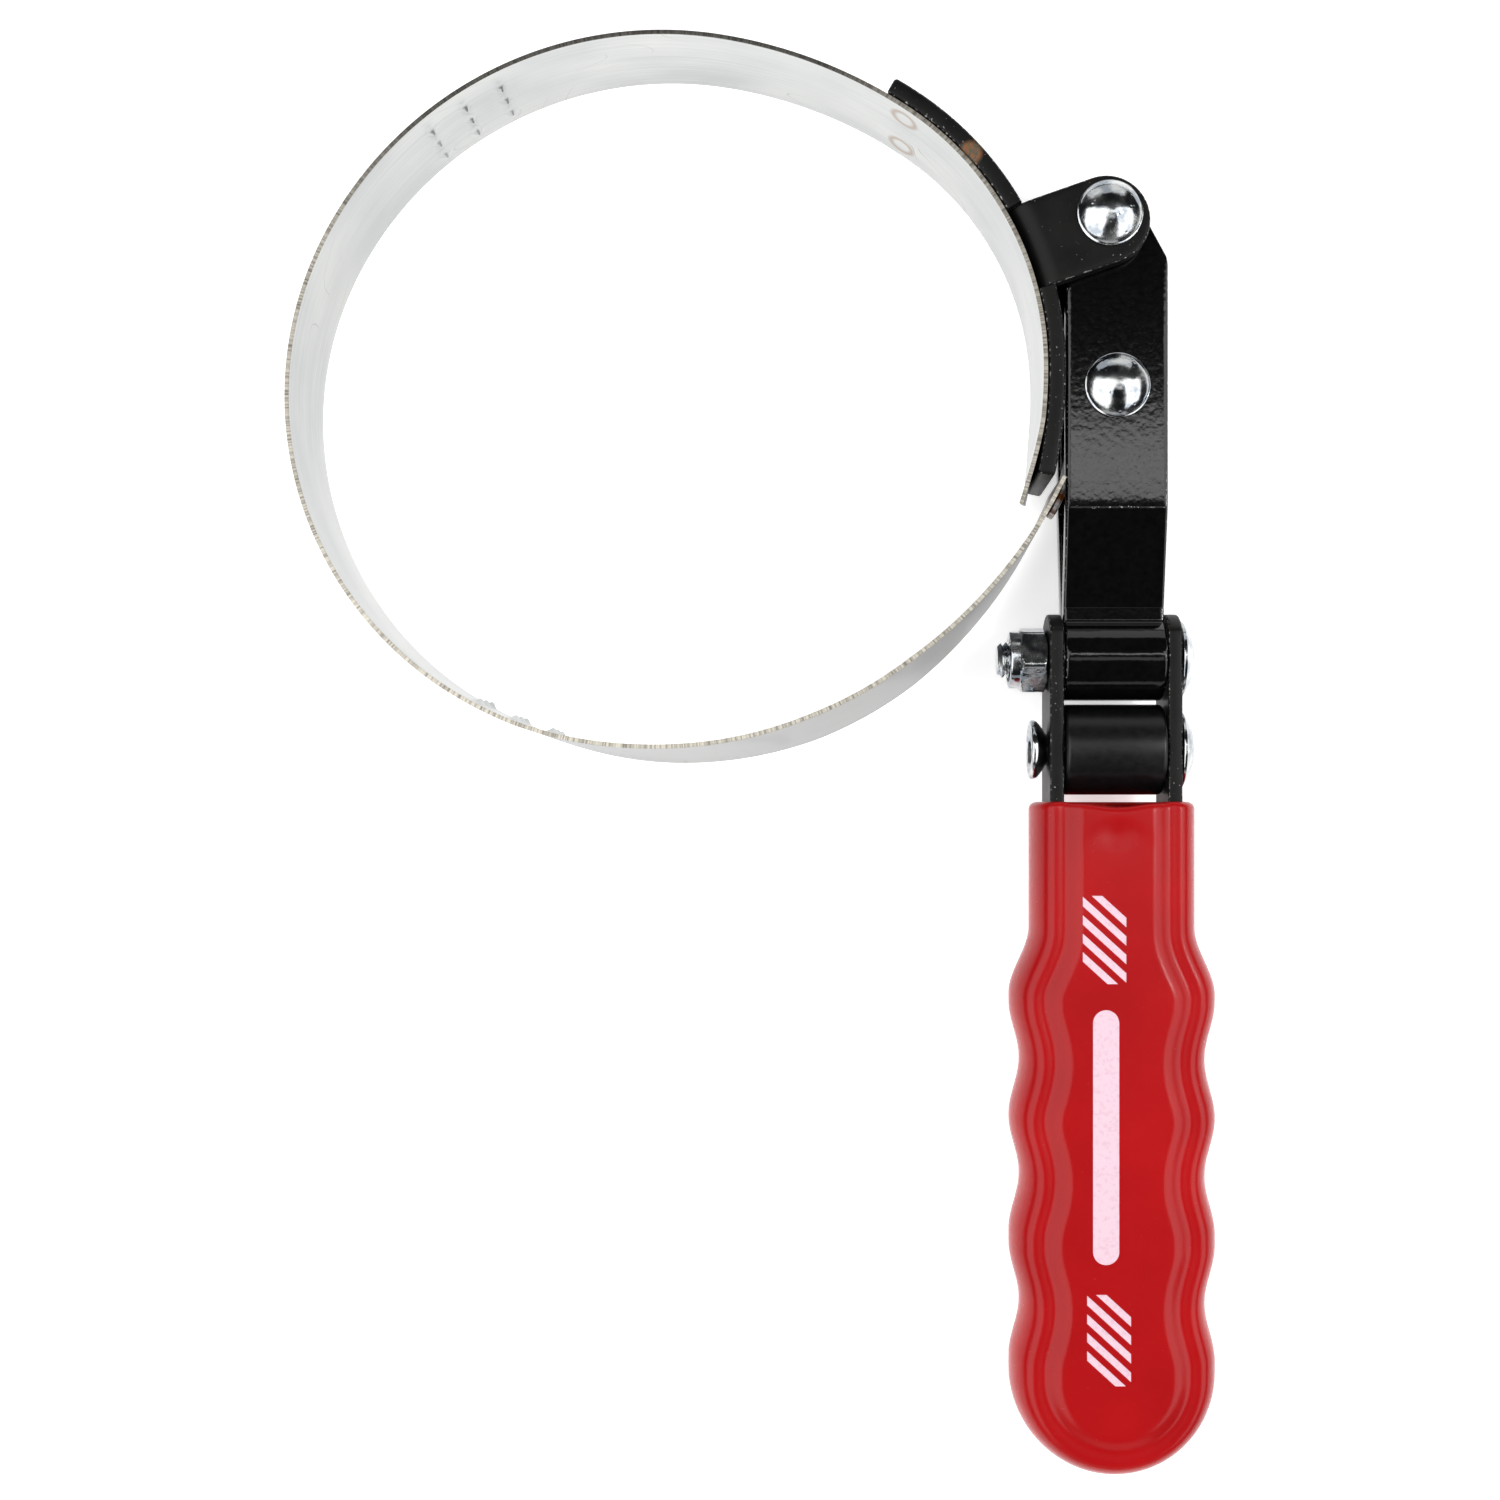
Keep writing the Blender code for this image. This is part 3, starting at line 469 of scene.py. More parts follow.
rust = node(tree, "MapRange", {"Value": rust, "From Min": 0.0014, "From Max": 0.0022, "To Min": 1.0,
                               "To Max": 0.0})
rusty = node(tree, "ValToRGB", {"Fac": speck}, [(0.35, colour("#4A5A50")), (0.6, colour("#8A5A3A"))])
spotted = node(tree, "MixRGB", {"Fac": rust, "Color1": worn, "Color2": rusty})
gloss = node(tree, "MapRange", {"Value": patch, "To Min": 0.34, "To Max": 0.5})
rise = node(tree, "Bump", {"Height": speck, "Strength": 0.25, "Distance": 0.00005})
node(tree, shader, {"Base Color": spotted, "Roughness": gloss, "Metallic": bare, "Normal": rise})

ear_turn = math.radians(EAR_DIRECTION)
ear_along = np.array((math.cos(ear_turn), math.sin(ear_turn)))
ear_across = np.array((-math.sin(ear_turn), math.cos(ear_turn)))
probe = np.linspace(25.0, 60.0, 400)
wall = band_surface(probe, np.zeros(400), np.full(400, SADDLE_OUT))[:, :2] - np.array(EAR_TIP)
wall_along, wall_across = wall @ ear_along, wall @ ear_across
ear_root = np.interp([-EAR_RADIUS, 0.0, EAR_RADIUS], wall_across, wall_along)
ear_zone = np.interp([-EAR_RADIUS, EAR_RADIUS], wall_across, probe)


def smooth(value):
    """Smooth step: 3 t t - 2 t t t of the value clipped to 0..1."""
    t = np.clip(value, 0.0, 1.0)
    return t * t * (3.0 - 2.0 * t)


def saddle_limits(along, inset):
    """Full width, but notched where the ears are bent off the front and back edges."""
    rise = smooth((np.abs(along - ear_zone.mean()) - np.ptp(ear_zone) / 2) / NOTCH_ROUND + 1.0)
    top = NOTCH_LEVEL + (BAND_HALF_WIDTH - NOTCH_LEVEL) * rise
    return -(top - inset), top - inset


notch = np.linspace(0.0, NOTCH_ROUND, 7)
rows = np.concatenate([np.linspace(SADDLE_FROM, SADDLE_TO, 60), ear_zone[0] + notch, ear_zone[1] - notch])
side, along, height, mark = strip(np.unique(rows), saddle_limits, SADDLE_HALF, SADDLE_EDGE, 15, True)
saddle = piece("bracket_saddle", "bracket", [band_surface(along, side, SADDLE_OUT + height)],
               [satin_black], marks=[mark])
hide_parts("saddle_bracket")


def ear_limits(along, inset):
    """Straight sides, and a half circle past the tip's middle."""
    past = np.clip(along - ear_tip_start, 0.0, None)
    half = np.sqrt(np.clip((EAR_RADIUS - inset) ** 2 - past ** 2, 0.0, None))
    return -half, half


quarter = EAR_BEND * math.pi / 2
ear_rise = EAR_LEVEL - EAR_BEND - EAR_FOOT
ear_tip_start = ear_rise + quarter - ear_root[1] - EAR_BEND
ear_moves = [(ear_rise, 0.0), (quarter, -90.0), (60.0, 0.0)]
rows = np.concatenate([np.linspace(0.0, ear_rise, 4), ear_rise + np.linspace(0.0, quarter, 12),
                       np.linspace(ear_rise + quarter, ear_tip_start, 10),
                       ear_tip_start + EAR_RADIUS * np.sin(np.linspace(0.0, math.pi / 2, 18))])
side, along, height, mark = strip(np.unique(np.round(rows, 5)), ear_limits, SADDLE_HALF - 0.02, 0.5, 21)
blank, heading = trace((0.0, EAR_FOOT), 90.0, ear_moves, along)
curved = np.interp(side, wall_across, wall_along) - ear_root[1]
reach = ear_root[1] + blank[..., 0] + curved * (1.0 - smooth((along - ear_rise) / EAR_FADE))
reach = reach - height * np.sin(heading)
level = blank[..., 1] + height * np.cos(heading)
flat = np.array(EAR_TIP) + reach[..., None] * ear_along + side[..., None] * ear_across
for name, way in (("front", 1.0), ("back", -1.0)):
    points = np.concatenate([flat, way * level[..., None]], axis=2)
    ear = piece(f"bracket_ear_{name}", "bracket", [points], [satin_black], marks=[mark])

# ---------------------------------------------------------------- rivets
# Two solid steel rivets with a domed head at each end, headed cold and then bright zinc plated.
# The upper one holds the arm between the ears, and the lower one carries the link's eye in the arm.

RIVET_HEAD = 5.25
RIVET_HEIGHT = 2.6
RIVET_RIM = 0.3
PIVOT_AT = (-1.7, 70.6)
PIVOT_SHANK = 3.0
PIVOT_SEAT = 10.15
LINK_AT = (0.0, 43.8)
LINK_SHANK = 2.6
LINK_SEAT = 7.0

# Bright zinc plate: a mirror with cloudy patches, soft pits and scuffs from the tumbling barrel.
zinc, tree, shader = finish("bright_zinc_plate", Metallic=1.0)
place = node(tree, "TexCoord").outputs["Object"]
patch = node(tree, "TexNoise", {"Vector": place, "Scale": 1000 / 2.5, "Detail": 3.0})
pits = node(tree, "TexVoronoi", {"Vector": place, "Scale": 1000 / 1.3})
pits = node(tree, "MapRange", {"Value": pits, "From Min": 0.05, "From Max": 0.22})
plate = node(tree, "ValToRGB", {"Fac": patch}, [(0.36, colour("#8F959C")), (0.6, colour("#D0D2D2"))])
gloss = node(tree, "MapRange", {"Value": patch, "From Min": 0.3, "From Max": 0.75, "To Min": 0.06,
                                "To Max": 0.3})
rise = node(tree, "Bump", {"Height": patch, "Strength": 0.5, "Distance": 0.00012})
rise = node(tree, "Bump", {"Height": pits, "Strength": 0.4, "Distance": 0.00006, "Normal": rise})
node(tree, shader, {"Base Color": plate, "Roughness": gloss, "Normal": rise})


def dome(radius, height, base, count=14):
    """(radius, level) points from a cap's rim to its top: a circle of radius (r r + h h) / 2h."""
    sphere = (radius ** 2 + height ** 2) / (2.0 * height)
    angle = math.asin(radius / sphere) * np.linspace(1.0, 0.0, count)
    return np.stack([sphere * np.sin(angle), base + height - sphere * (1.0 - np.cos(angle))], axis=1)


def spun(profile, centre, axis, count=64):
    """Grid of a (radius, level) profile turned about an axis through centre."""
    radius, level = np.asarray(profile, float).T[:, :, None]
    angle = np.linspace(0.0, 2.0 * math.pi, count, endpoint=False)
    first, second = radius * np.cos(angle), radius * np.sin(angle)
    level = np.broadcast_to(level, first.shape)
    order = {"z": (first, second, level), "x": (level, first, second)}[axis]
    return np.stack(order, axis=-1) + np.array(centre, float)


def rounded(points, radius, count=4):
    """Profile with each inner corner cut by a parabola that starts and ends radius away from it."""
    points = np.asarray(points, float)
    before, corner, after = points[:-2], points[1:-1], points[2:]
    reach_in = np.minimum(radius / np.linalg.norm(before - corner, axis=1), 0.45)[:, None]
    reach_out = np.minimum(radius / np.linalg.norm(after - corner, axis=1), 0.45)[:, None]
    start = corner + (before - corner) * reach_in
    end = corner + (after - corner) * reach_out
    t = np.linspace(0.0, 1.0, count + 1)[:, None, None]
    cut = (1 - t) ** 2 * start + 2 * t * (1 - t) * corner + t ** 2 * end
    return np.concatenate([points[:1], cut.transpose(1, 0, 2).reshape(-1, 2), points[-1:]])


for name, at, shank, seat, body in (("pivot_rivet", PIVOT_AT, PIVOT_SHANK, PIVOT_SEAT, "bracket"),
                                    ("link_rivet", LINK_AT, LINK_SHANK, LINK_SEAT, "arm")):
    top = dome(RIVET_HEAD, RIVET_HEIGHT - RIVET_RIM, seat + RIVET_RIM)
    top[0, 0] -= 0.06
    foot = rounded([(0.0, seat - 1.0), (shank, seat - 1.0), (shank, seat), (RIVET_HEAD, seat),
                    (RIVET_HEAD, seat + RIVET_RIM)], 0.2)[1:]
    half = np.concatenate([foot[4:], top])
    whole = np.concatenate([(half * (1.0, -1.0))[::-1], half])
    made = piece(name + "_plated", body, [spun(whole, (*at, 0.0), "z")], [zinc], sharp=60.0)
    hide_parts(name)

# ---------------------------------------------------------------- link
# A narrow strip of the same stainless, welded on the band's loose end and curled into an eye.
# The eye turns on the lower rivet, between the arm's two plates.

LINK_HALF_WIDTH = 3.3
LINK_HALF_THICKNESS = 0.55
LINK_LAP = 4.8
LINK_OUT = 1.05
LINK_EYE = 5.1
LINK_TURN = 292.0

lap = band_surface(np.linspace(band_length - LINK_LAP, band_length, 30), np.zeros(30),
                   np.full(30, LINK_OUT))[:, :2]
away = lap[-1] - np.array(LINK_AT)
touch = math.atan2(away[1], away[0]) - math.acos(LINK_EYE / np.linalg.norm(away))
turn = touch - np.radians(np.linspace(0.0, LINK_TURN, 110))
curl = np.array(LINK_AT) + LINK_EYE * np.stack([np.cos(turn), np.sin(turn)], axis=1)
bridge = lap[-1] + (curl[0] - lap[-1]) * np.linspace(0.0, 1.0, 12)[1:-1, None]
link_path = np.concatenate([lap, bridge, curl])
run = np.concatenate([[0.0], np.cumsum(np.linalg.norm(np.diff(link_path, axis=0), axis=1))])
bearing = np.unwrap(np.arctan2(*np.gradient(link_path, run, axis=0).T[::-1]))
bearing = np.convolve(np.pad(bearing, 3, mode="edge"), np.ones(7) / 7, mode="valid")


def link_limits(along, inset):
    """Straight sides with the two corners of the welded end cut round."""
    half = LINK_HALF_WIDTH - 0.8 * np.clip(1.0 - along / 1.5, 0.0, 1.0) ** 2
    return -(half - inset), half - inset


rows = np.linspace(0.0, run[-1], 130)
side, along, height, mark = strip(rows, link_limits, LINK_HALF_THICKNESS, 0.25, 9, True)
x = np.interp(along, run, link_path[:, 0]) + height * np.sin(np.interp(along, run, bearing))
y = np.interp(along, run, link_path[:, 1]) - height * np.cos(np.interp(along, run, bearing))
flat_map = np.stack([(along + band_length - LINK_LAP) * MM, side * MM], axis=-1)
link = piece("link_strip", "band_10", [np.stack([x, y, side], axis=-1)], [rolled], maps=[flat_map])
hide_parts("band_link_eye")

# ---------------------------------------------------------------- arm
# One strip of 3.2 mm steel folded round the swivel bolt, so that its ends make two parallel plates.
# The upper end is rounded about the rivet with one corner cut off. It is dipped in gloss black paint.

ARM_HALF = 8.2
ARM_PLATE = 5.25
ARM_HALF_THICKNESS = 1.6
ARM_WAIST = 1.675
ARM_KNEE_Y = 24.3
ARM_WAIST_Y = 8.5
ARM_TIP = 7.0
ARM_CUT = ((2.0, 75.7), (8.2, 64.3))
ARM_EYE = 5.15
ARM_FILLET = 2.4
ARM_KNEE_RADIUS = 2.2

gloss_black, tree, shader = finish("gloss_black_paint", Specular_IOR_Level=0.5)
place = node(tree, "TexCoord").outputs["Object"]
peel = node(tree, "TexNoise", {"Vector": place, "Scale": 1000 / 1.1, "Detail": 1.5})
dust = node(tree, "TexNoise", {"Vector": place, "Scale": 1000 / 0.45, "Detail": 2.0})
edge = node(tree, "Attribute", attribute_name="mark").outputs["Fac"]
paint = node(tree, "ValToRGB", {"Fac": peel}, [(0.3, colour("#040404")), (0.7, colour("#090909"))])
# Pale where the mark and the dust noise are high: real wear along the edges, and painted highlight lines at
# the arm's two front bends.
rub = node(tree, "Math", {0: edge, 1: dust}, operation="MULTIPLY")
rub = node(tree, "MapRange", {"Value": rub, "From Min": 0.56, "From Max": 0.66})
rubbed_and_highlighted = node(tree, "MixRGB", {"Fac": rub, "Color1": paint, "Color2": colour("#B8B6B0")})
gloss = node(tree, "MapRange", {"Value": dust, "To Min": 0.04, "To Max": 0.14})
rise = node(tree, "Bump", {"Height": peel, "Strength": 0.16, "Distance": 0.0001})
rise = node(tree, "Bump", {"Height": dust, "Strength": 0.08, "Distance": 0.00003, "Normal": rise})
node(tree, shader, {"Base Color": rubbed_and_highlighted, "Roughness": gloss, "Normal": rise})

arm_slope = math.atan2(ARM_PLATE - ARM_WAIST, ARM_KNEE_Y - ARM_WAIST_Y)
knee_arc = ARM_KNEE_RADIUS * arm_slope
knee_reach = ARM_KNEE_RADIUS * math.tan(arm_slope / 2)
arm_top = PIVOT_AT[1] + ARM_TIP
fillet_y = math.sqrt((ARM_EYE + ARM_FILLET) ** 2 - (ARM_WAIST + ARM_FILLET) ** 2)
fillet_turn = math.atan2(fillet_y, ARM_WAIST + ARM_FILLET)
half_moves = [
    (arm_top - ARM_KNEE_Y - knee_reach, 0.0),
    (knee_arc, -math.degrees(arm_slope)),
    (math.hypot(ARM_PLATE - ARM_WAIST, ARM_KNEE_Y - ARM_WAIST_Y) - 2 * knee_reach, 0.0),
    (knee_arc, math.degrees(arm_slope)),
    (ARM_WAIST_Y - knee_reach - fillet_y, 0.0),
    (ARM_FILLET * fillet_turn, math.degrees(fillet_turn)),
]
eye_turn = math.pi + 2 * fillet_turn
arm_moves = half_moves + [(ARM_EYE * eye_turn, -math.degrees(eye_turn))] + half_moves[::-1]
arm_run = sum(move[0] for move in arm_moves)


def arm_limits(along, inset):
    """Straight sides, the cut corner, and the circle about the rivet above its middle."""
    y = arm_top - np.minimum(along, arm_run - along)
    slope = (ARM_CUT[1][1] - ARM_CUT[0][1]) / (ARM_CUT[1][0] - ARM_CUT[0][0])
    cut = ARM_CUT[0][0] + (y + inset * math.hypot(1.0, slope) - ARM_CUT[0][1]) / slope
    above = np.clip(y - PIVOT_AT[1], 0.0, None)
    tip = np.sqrt(np.clip((ARM_TIP - inset) ** 2 - above ** 2, 0.0, None))
    tip = np.where(y > PIVOT_AT[1], tip, 99.0)
    left = np.maximum(-ARM_HALF + inset, PIVOT_AT[0] - tip)
    right = np.minimum(np.minimum(ARM_HALF - inset, cut), PIVOT_AT[0] + tip)
    return np.minimum(left, right), np.maximum(right, left)


tip_rows = ARM_TIP * (1.0 - np.sin(np.linspace(math.pi / 2, 0.0, 24)))
begins = np.cumsum([move[0] for move in arm_moves])
rows = [tip_rows, np.linspace(ARM_TIP, begins[0], 40)]
for low, high in zip(begins[:-1], begins[1:]):
    rows.append(np.linspace(low, high, 40 if high - low > 20.0 and high < arm_run - 20.0 else 12))
rows = np.unique(np.round(np.concatenate(rows + [arm_run - rows[0], arm_run - rows[1]]), 4))
rows = rows[(rows >= 0.0) & (rows <= arm_run)]
rows[-1] = arm_run
side, along, height, mark = strip(rows, arm_limits, ARM_HALF_THICKNESS, 0.35, 25)
# Painted highlight: thin pale lines across the front plate at its knee and at the fillet above the eye,
# added to the wear mark.
knees = np.array([begins[0] + knee_arc / 2, begins[4] + 0.4])
knee_highlight_paint = np.exp(-((along[..., None] - knees) / 0.3) ** 2).max(axis=-1)
mark = np.maximum(mark, knee_highlight_paint * (height > 0.0))
fold, heading = trace((ARM_PLATE, arm_top), -90.0, arm_moves, along)
z = fold[..., 0] - height * np.sin(heading)
y = fold[..., 1] + height * np.cos(heading)
arm = piece("arm_folded_strip", "arm", [np.stack([side, y, z], axis=-1)], [gloss_black], marks=[mark])
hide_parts("folded_arm")

# ---------------------------------------------------------------- yoke
# A flat bar bent to a U, with its ends rounded about the swivel bolt, in the bracket's satin black.
# Its two legs stand out of the grip and hold the bolt, the cross rivet and the spacer.

YOKE_MIDDLE = 9.6
YOKE_HALF_THICKNESS = 1.15
YOKE_HALF_DEPTH = 6.0
YOKE_END = 7.5
YOKE_BEND_Y = -117.0


def yoke_limits(along, inset):
    """Bar's own depth, less where the end's circle about the bolt is narrower."""
    above = np.clip(YOKE_END - np.minimum(along, yoke_run - along), 0.0, None)
    half = np.sqrt(np.clip((YOKE_END - inset) ** 2 - above ** 2, 0.0, None))
    half = np.minimum(half, YOKE_HALF_DEPTH - inset)
    return -half, half


yoke_moves = [(YOKE_END - YOKE_BEND_Y, 0.0), (math.pi * YOKE_MIDDLE, 180.0), (YOKE_END - YOKE_BEND_Y, 0.0)]
yoke_run = sum(move[0] for move in yoke_moves)
end_rows = YOKE_END * (1.0 - np.cos(np.linspace(0.0, math.pi / 2, 20)))
rows = np.concatenate([end_rows, np.linspace(YOKE_END, yoke_moves[0][0], 30)])
rows = np.concatenate([rows, yoke_moves[0][0] + np.linspace(0.0, yoke_moves[1][0], 30)[1:-1],
                       (yoke_run - rows)[::-1]])
side, along, height, mark = strip(rows, yoke_limits, YOKE_HALF_THICKNESS, 0.4, 15)
bend, heading = trace((-YOKE_MIDDLE, YOKE_END), -90.0, yoke_moves, along)
x = bend[..., 0] + height * np.sin(heading)
y = bend[..., 1] - height * np.cos(heading)
yoke = piece("yoke_bar", "handle", [np.stack([x, y, side], axis=-1)], [satin_black], marks=[mark])
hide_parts("yoke")

# ---------------------------------------------------------------- swivel bolt and nut
# An M6 bolt with a domed head, zinc plated, and a nut with a nylon ring rolled into its collar.
# The thread is cut as a real helix of 1 mm pitch, and it stands a little out of the nut.

LEG_FACE = 10.9
BOLT_HALF = 3.0
BOLT_END = -18.9
BOLT_HEAD = 6.3
BOLT_HEAD_HEIGHT = 2.8
BOLT_RIM = 0.6
THREAD_PITCH = 1.0
THREAD_DEPTH = 0.55
THREAD_TO = -9.0
NUT_FLATS = 10.0
NUT_HEX = 4.5
NUT_COLLAR = 4.7
NUT_END = -17.0
NUT_FACE = 4.85
NUT_CORNER = 5.66
NUT_TURN = math.radians(17.5)
NUT_SEAT = -15.2
NUT_BORE = 3.1
RING_FROM = -16.1
RING_RADIUS = 3.9
RING_BORE = 3.05
CHAMFER = 1.73

angle = np.linspace(0.0, 2.0 * math.pi, 72, endpoint=False)
level = np.arange(BOLT_END, THREAD_TO, 0.07)[:, None]
turns = (level / THREAD_PITCH - angle / (2.0 * math.pi)) % 1.0
vee = np.clip(np.abs(2.0 * turns - 1.0) * 1.25 - 0.1, 0.0, 1.0)
run_out = np.clip((THREAD_TO - 0.8 - level) / 0.8, 0.0, 1.0)
point = np.clip((BOLT_END + 0.7 - level) / 0.7, 0.0, 1.0)
radius = np.minimum(BOLT_HALF - THREAD_DEPTH * vee * run_out, BOLT_HALF - 0.75 * point)
threaded = np.stack([np.broadcast_to(level, radius.shape), radius * np.cos(angle),
                     radius * np.sin(angle)], axis=-1)
head_dome = dome(BOLT_HEAD, BOLT_HEAD_HEIGHT - BOLT_RIM, LEG_FACE + BOLT_RIM)
head = np.concatenate([[(BOLT_HALF, THREAD_TO + 0.1), (BOLT_HALF, LEG_FACE)],
                       rounded([(BOLT_HALF, LEG_FACE), (BOLT_HEAD, LEG_FACE), head_dome[0]], 0.25)[1:-1],
                       head_dome])
points = np.concatenate([threaded, spun(head, (0.0, 0.0, 0.0), "x", 72)])
bolt = piece("swivel_bolt_plated", "handle", [points], [zinc])
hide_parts("swivel_bolt")

hex_face = -LEG_FACE
hex_end = hex_face - NUT_HEX
angle = np.linspace(0.0, 2.0 * math.pi, 144, endpoint=False)
flats = NUT_FLATS / 2.0 / np.cos((angle + NUT_TURN) % (math.pi / 3) - math.pi / 6)
level = hex_face - np.linspace(0.0, NUT_HEX, 34)[:, None]
cones = np.minimum(NUT_FACE + CHAMFER * (hex_face - level), NUT_COLLAR + 0.1 + CHAMFER * (level - hex_end))
radius = np.minimum(np.minimum(cones, flats), NUT_CORNER)
shell = np.stack([level + 0.0 * radius, radius * np.cos(angle), radius * np.sin(angle)], axis=-1)
collar = rounded([(NUT_COLLAR + 0.05, hex_end), (NUT_COLLAR, NUT_END + 0.1), (4.2, NUT_END - 0.05),
                  (3.95, NUT_END + 0.25), (3.95, NUT_SEAT), (NUT_BORE, NUT_SEAT), (NUT_BORE, hex_face - 0.4),
                  (3.5, hex_face), (NUT_FACE, hex_face)], 0.3)
grid = np.concatenate([shell, spun(collar, (0.0, 0.0, 0.0), "x", 144)])
nut = piece("lock_nut_plated", "handle", [grid], [zinc], sharp=25.0)
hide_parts("lock_nut")

# Moulded nylon: smooth and a little clear, with soft mottling.
nylon, tree, shader = finish("moulded_nylon", Roughness=0.4, Subsurface_Weight=0.15)
place = node(tree, "TexCoord").outputs["Object"]
cloud = node(tree, "TexNoise", {"Vector": place, "Scale": 1000 / 1.5, "Detail": 1.0})
tone = node(tree, "ValToRGB", {"Fac": cloud}, [(0.3, colour("#27415E")), (0.7, colour("#35557A"))])
node(tree, shader, {"Base Color": tone})
square = [(RING_BORE, RING_FROM), (RING_RADIUS, RING_FROM), (RING_RADIUS, NUT_SEAT - 0.02),
          (RING_BORE, NUT_SEAT - 0.02)]
ring_profile = rounded(square + square[:2], 0.25)[1:-1]
ring_profile = np.concatenate([ring_profile, ring_profile[:1]])
ring = piece("nut_ring_moulded", "handle", [spun(ring_profile, (0.0, 0.0, 0.0), "x")], [nylon])
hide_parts("nut_locking_ring")

# ---------------------------------------------------------------- cross rivet
# A semi-tubular steel rivet through both legs below the bolt: a domed head on the right, and on the
# left a hollow tail that is rolled open into a flare. Bright zinc plated like the bolt.

CROSS_AT = (0.0, -14.8, 0.0)
CROSS_SHANK = 2.5
FLARE_RADIUS = 4.95
FLARE_END = -13.6
TAIL_BORE = 1.2
TAIL_DEPTH = -11.4

tail = [(0.0, TAIL_DEPTH), (TAIL_BORE, TAIL_DEPTH - 0.3), (TAIL_BORE + 0.4, -12.2), (3.2, -12.6),
        (FLARE_RADIUS - 0.9, FLARE_END), (FLARE_RADIUS, FLARE_END + 0.1), (FLARE_RADIUS - 0.1, -12.5),
        (3.2, -11.2), (CROSS_SHANK, -LEG_FACE), (CROSS_SHANK, LEG_FACE), (BOLT_HEAD, LEG_FACE),
        (BOLT_HEAD, LEG_FACE + BOLT_RIM)]
profile = np.concatenate([rounded(tail, 0.5)[1:-1], head_dome])
cross = piece("cross_rivet_plated", "handle", [spun(profile, CROSS_AT, "x", 72)], [zinc])
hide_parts("cross_rivet")

# ---------------------------------------------------------------- spacer
# A moulded black plastic sleeve, loose on the cross rivet, that fills the space between the legs.
# Its ends are rounded, and the moulding leaves it with a soft, slightly uneven sheen.

SPACER_RADIUS = 7.45
SPACER_HALF = 8.2
SPACER_BORE = 2.8

plastic, tree, shader = finish("moulded_black_plastic", Specular_IOR_Level=0.35)
place = node(tree, "TexCoord").outputs["Object"]
cloud = node(tree, "TexNoise", {"Vector": place, "Scale": 1000 / 1.1, "Detail": 3.0})
tone = node(tree, "ValToRGB", {"Fac": cloud}, [(0.3, colour("#060607")), (0.7, colour("#0D0D0E"))])
gloss = node(tree, "MapRange", {"Value": cloud, "To Min": 0.26, "To Max": 0.4})
rise = node(tree, "Bump", {"Height": cloud, "Strength": 0.2, "Distance": 0.00008})
node(tree, shader, {"Base Color": tone, "Roughness": gloss, "Normal": rise})
profile = rounded([(SPACER_BORE, 0.0), (SPACER_BORE, SPACER_HALF), (SPACER_RADIUS, SPACER_HALF),
                   (SPACER_RADIUS, 0.0)], 0.7)
profile = np.concatenate([profile, (profile * (1.0, -1.0))[::-1]])
spacer = piece("spacer_moulded", "spacer", [spun(profile, CROSS_AT, "x", 72)], [plastic])
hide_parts("spacer_sleeve")

# ---------------------------------------------------------------- grip
# Thick red vinyl, dipped on as a liquid and cured in an oven, so its skin is glossy. It hides the yoke's
# bend and has three shallow finger valleys on each side, flat faces, a wavy mouth and a round end.

GRIP_TOP = -24.5
GRIP_END_MIDDLE = -116.9
GRIP_NECK = 13.55
GRIP_LOBE = 16.9
GRIP_VALLEY = 1.7
GRIP_VALLEYS = (-65.7, -84.8, -105.6)
GRIP_REACH = 9.55
GRIP_SHOULDER = -44.0
SHOULDER_LENGTH = 11.0
GRIP_FLAT = 8.0
GRIP_ROUND = 3.6
GRIP_BULGE = 7.0
GRIP_INSET = 9.0
GRIP_GROOVE = (5.3, 1.1, 0.2)
MOUTH_SCALE = 0.80
MOUTH_DEPTH = 12.0
MOUTH_DIP = 1.0
DENT_DEPTH = 0.5
MOUTH_ROUND = 1.1

vinyl, tree, shader = finish("dipped_red_vinyl", Specular_IOR_Level=0.2, Coat_Weight=0.04,
                             Coat_Roughness=0.2, Subsurface_Weight=0.05)
place = node(tree, "TexCoord").outputs["Object"]
flow = node(tree, "TexNoise", {"Vector": place, "Scale": 1000 / 14.0, "Detail": 1.0})
skin = node(tree, "TexNoise", {"Vector": place, "Scale": 1000 / 1.0, "Detail": 2.0})
tone = node(tree, "ValToRGB", {"Fac": flow}, [(0.3, colour("#A51014")), (0.7, colour("#B01316"))])
gloss = node(tree, "MapRange", {"Value": skin, "To Min": 0.2, "To Max": 0.3})
rise = node(tree, "Bump", {"Height": flow, "Strength": 0.15, "Distance": 0.0008})
rise = node(tree, "Bump", {"Height": skin, "Strength": 0.1, "Distance": 0.00004, "Normal": rise})
node(tree, shader, {"Base Color": tone, "Roughness": gloss, "Normal": rise})


def grip_width(y):
    """Half width: neck, shoulder and lobes, less a raised-cosine dip at each finger valley."""
    width = GRIP_NECK + (GRIP_LOBE - GRIP_NECK) * smooth((GRIP_SHOULDER - y) / SHOULDER_LENGTH)
    away = np.minimum(np.abs(y[..., None] - np.array(GRIP_VALLEYS)) / GRIP_REACH, 1.0)
    return width - (GRIP_VALLEY * 0.5 * (1.0 + np.cos(math.pi * away))).sum(axis=-1)


def grip_level(inset):
    """Half depth at a distance inside the outline: a rounded side, a faint groove and the flat face."""
    side = GRIP_BULGE * np.sqrt(np.clip(1.0 - (1.0 - np.minimum(inset / GRIP_ROUND, 1.0)) ** 2, 0.0, 1.0))
    at, spread, deep = GRIP_GROOVE
    groove = deep * np.exp(-((inset - at) / spread) ** 2)
    return side + (GRIP_FLAT - GRIP_BULGE) * smooth((inset - 4.6) / 3.6) - groove


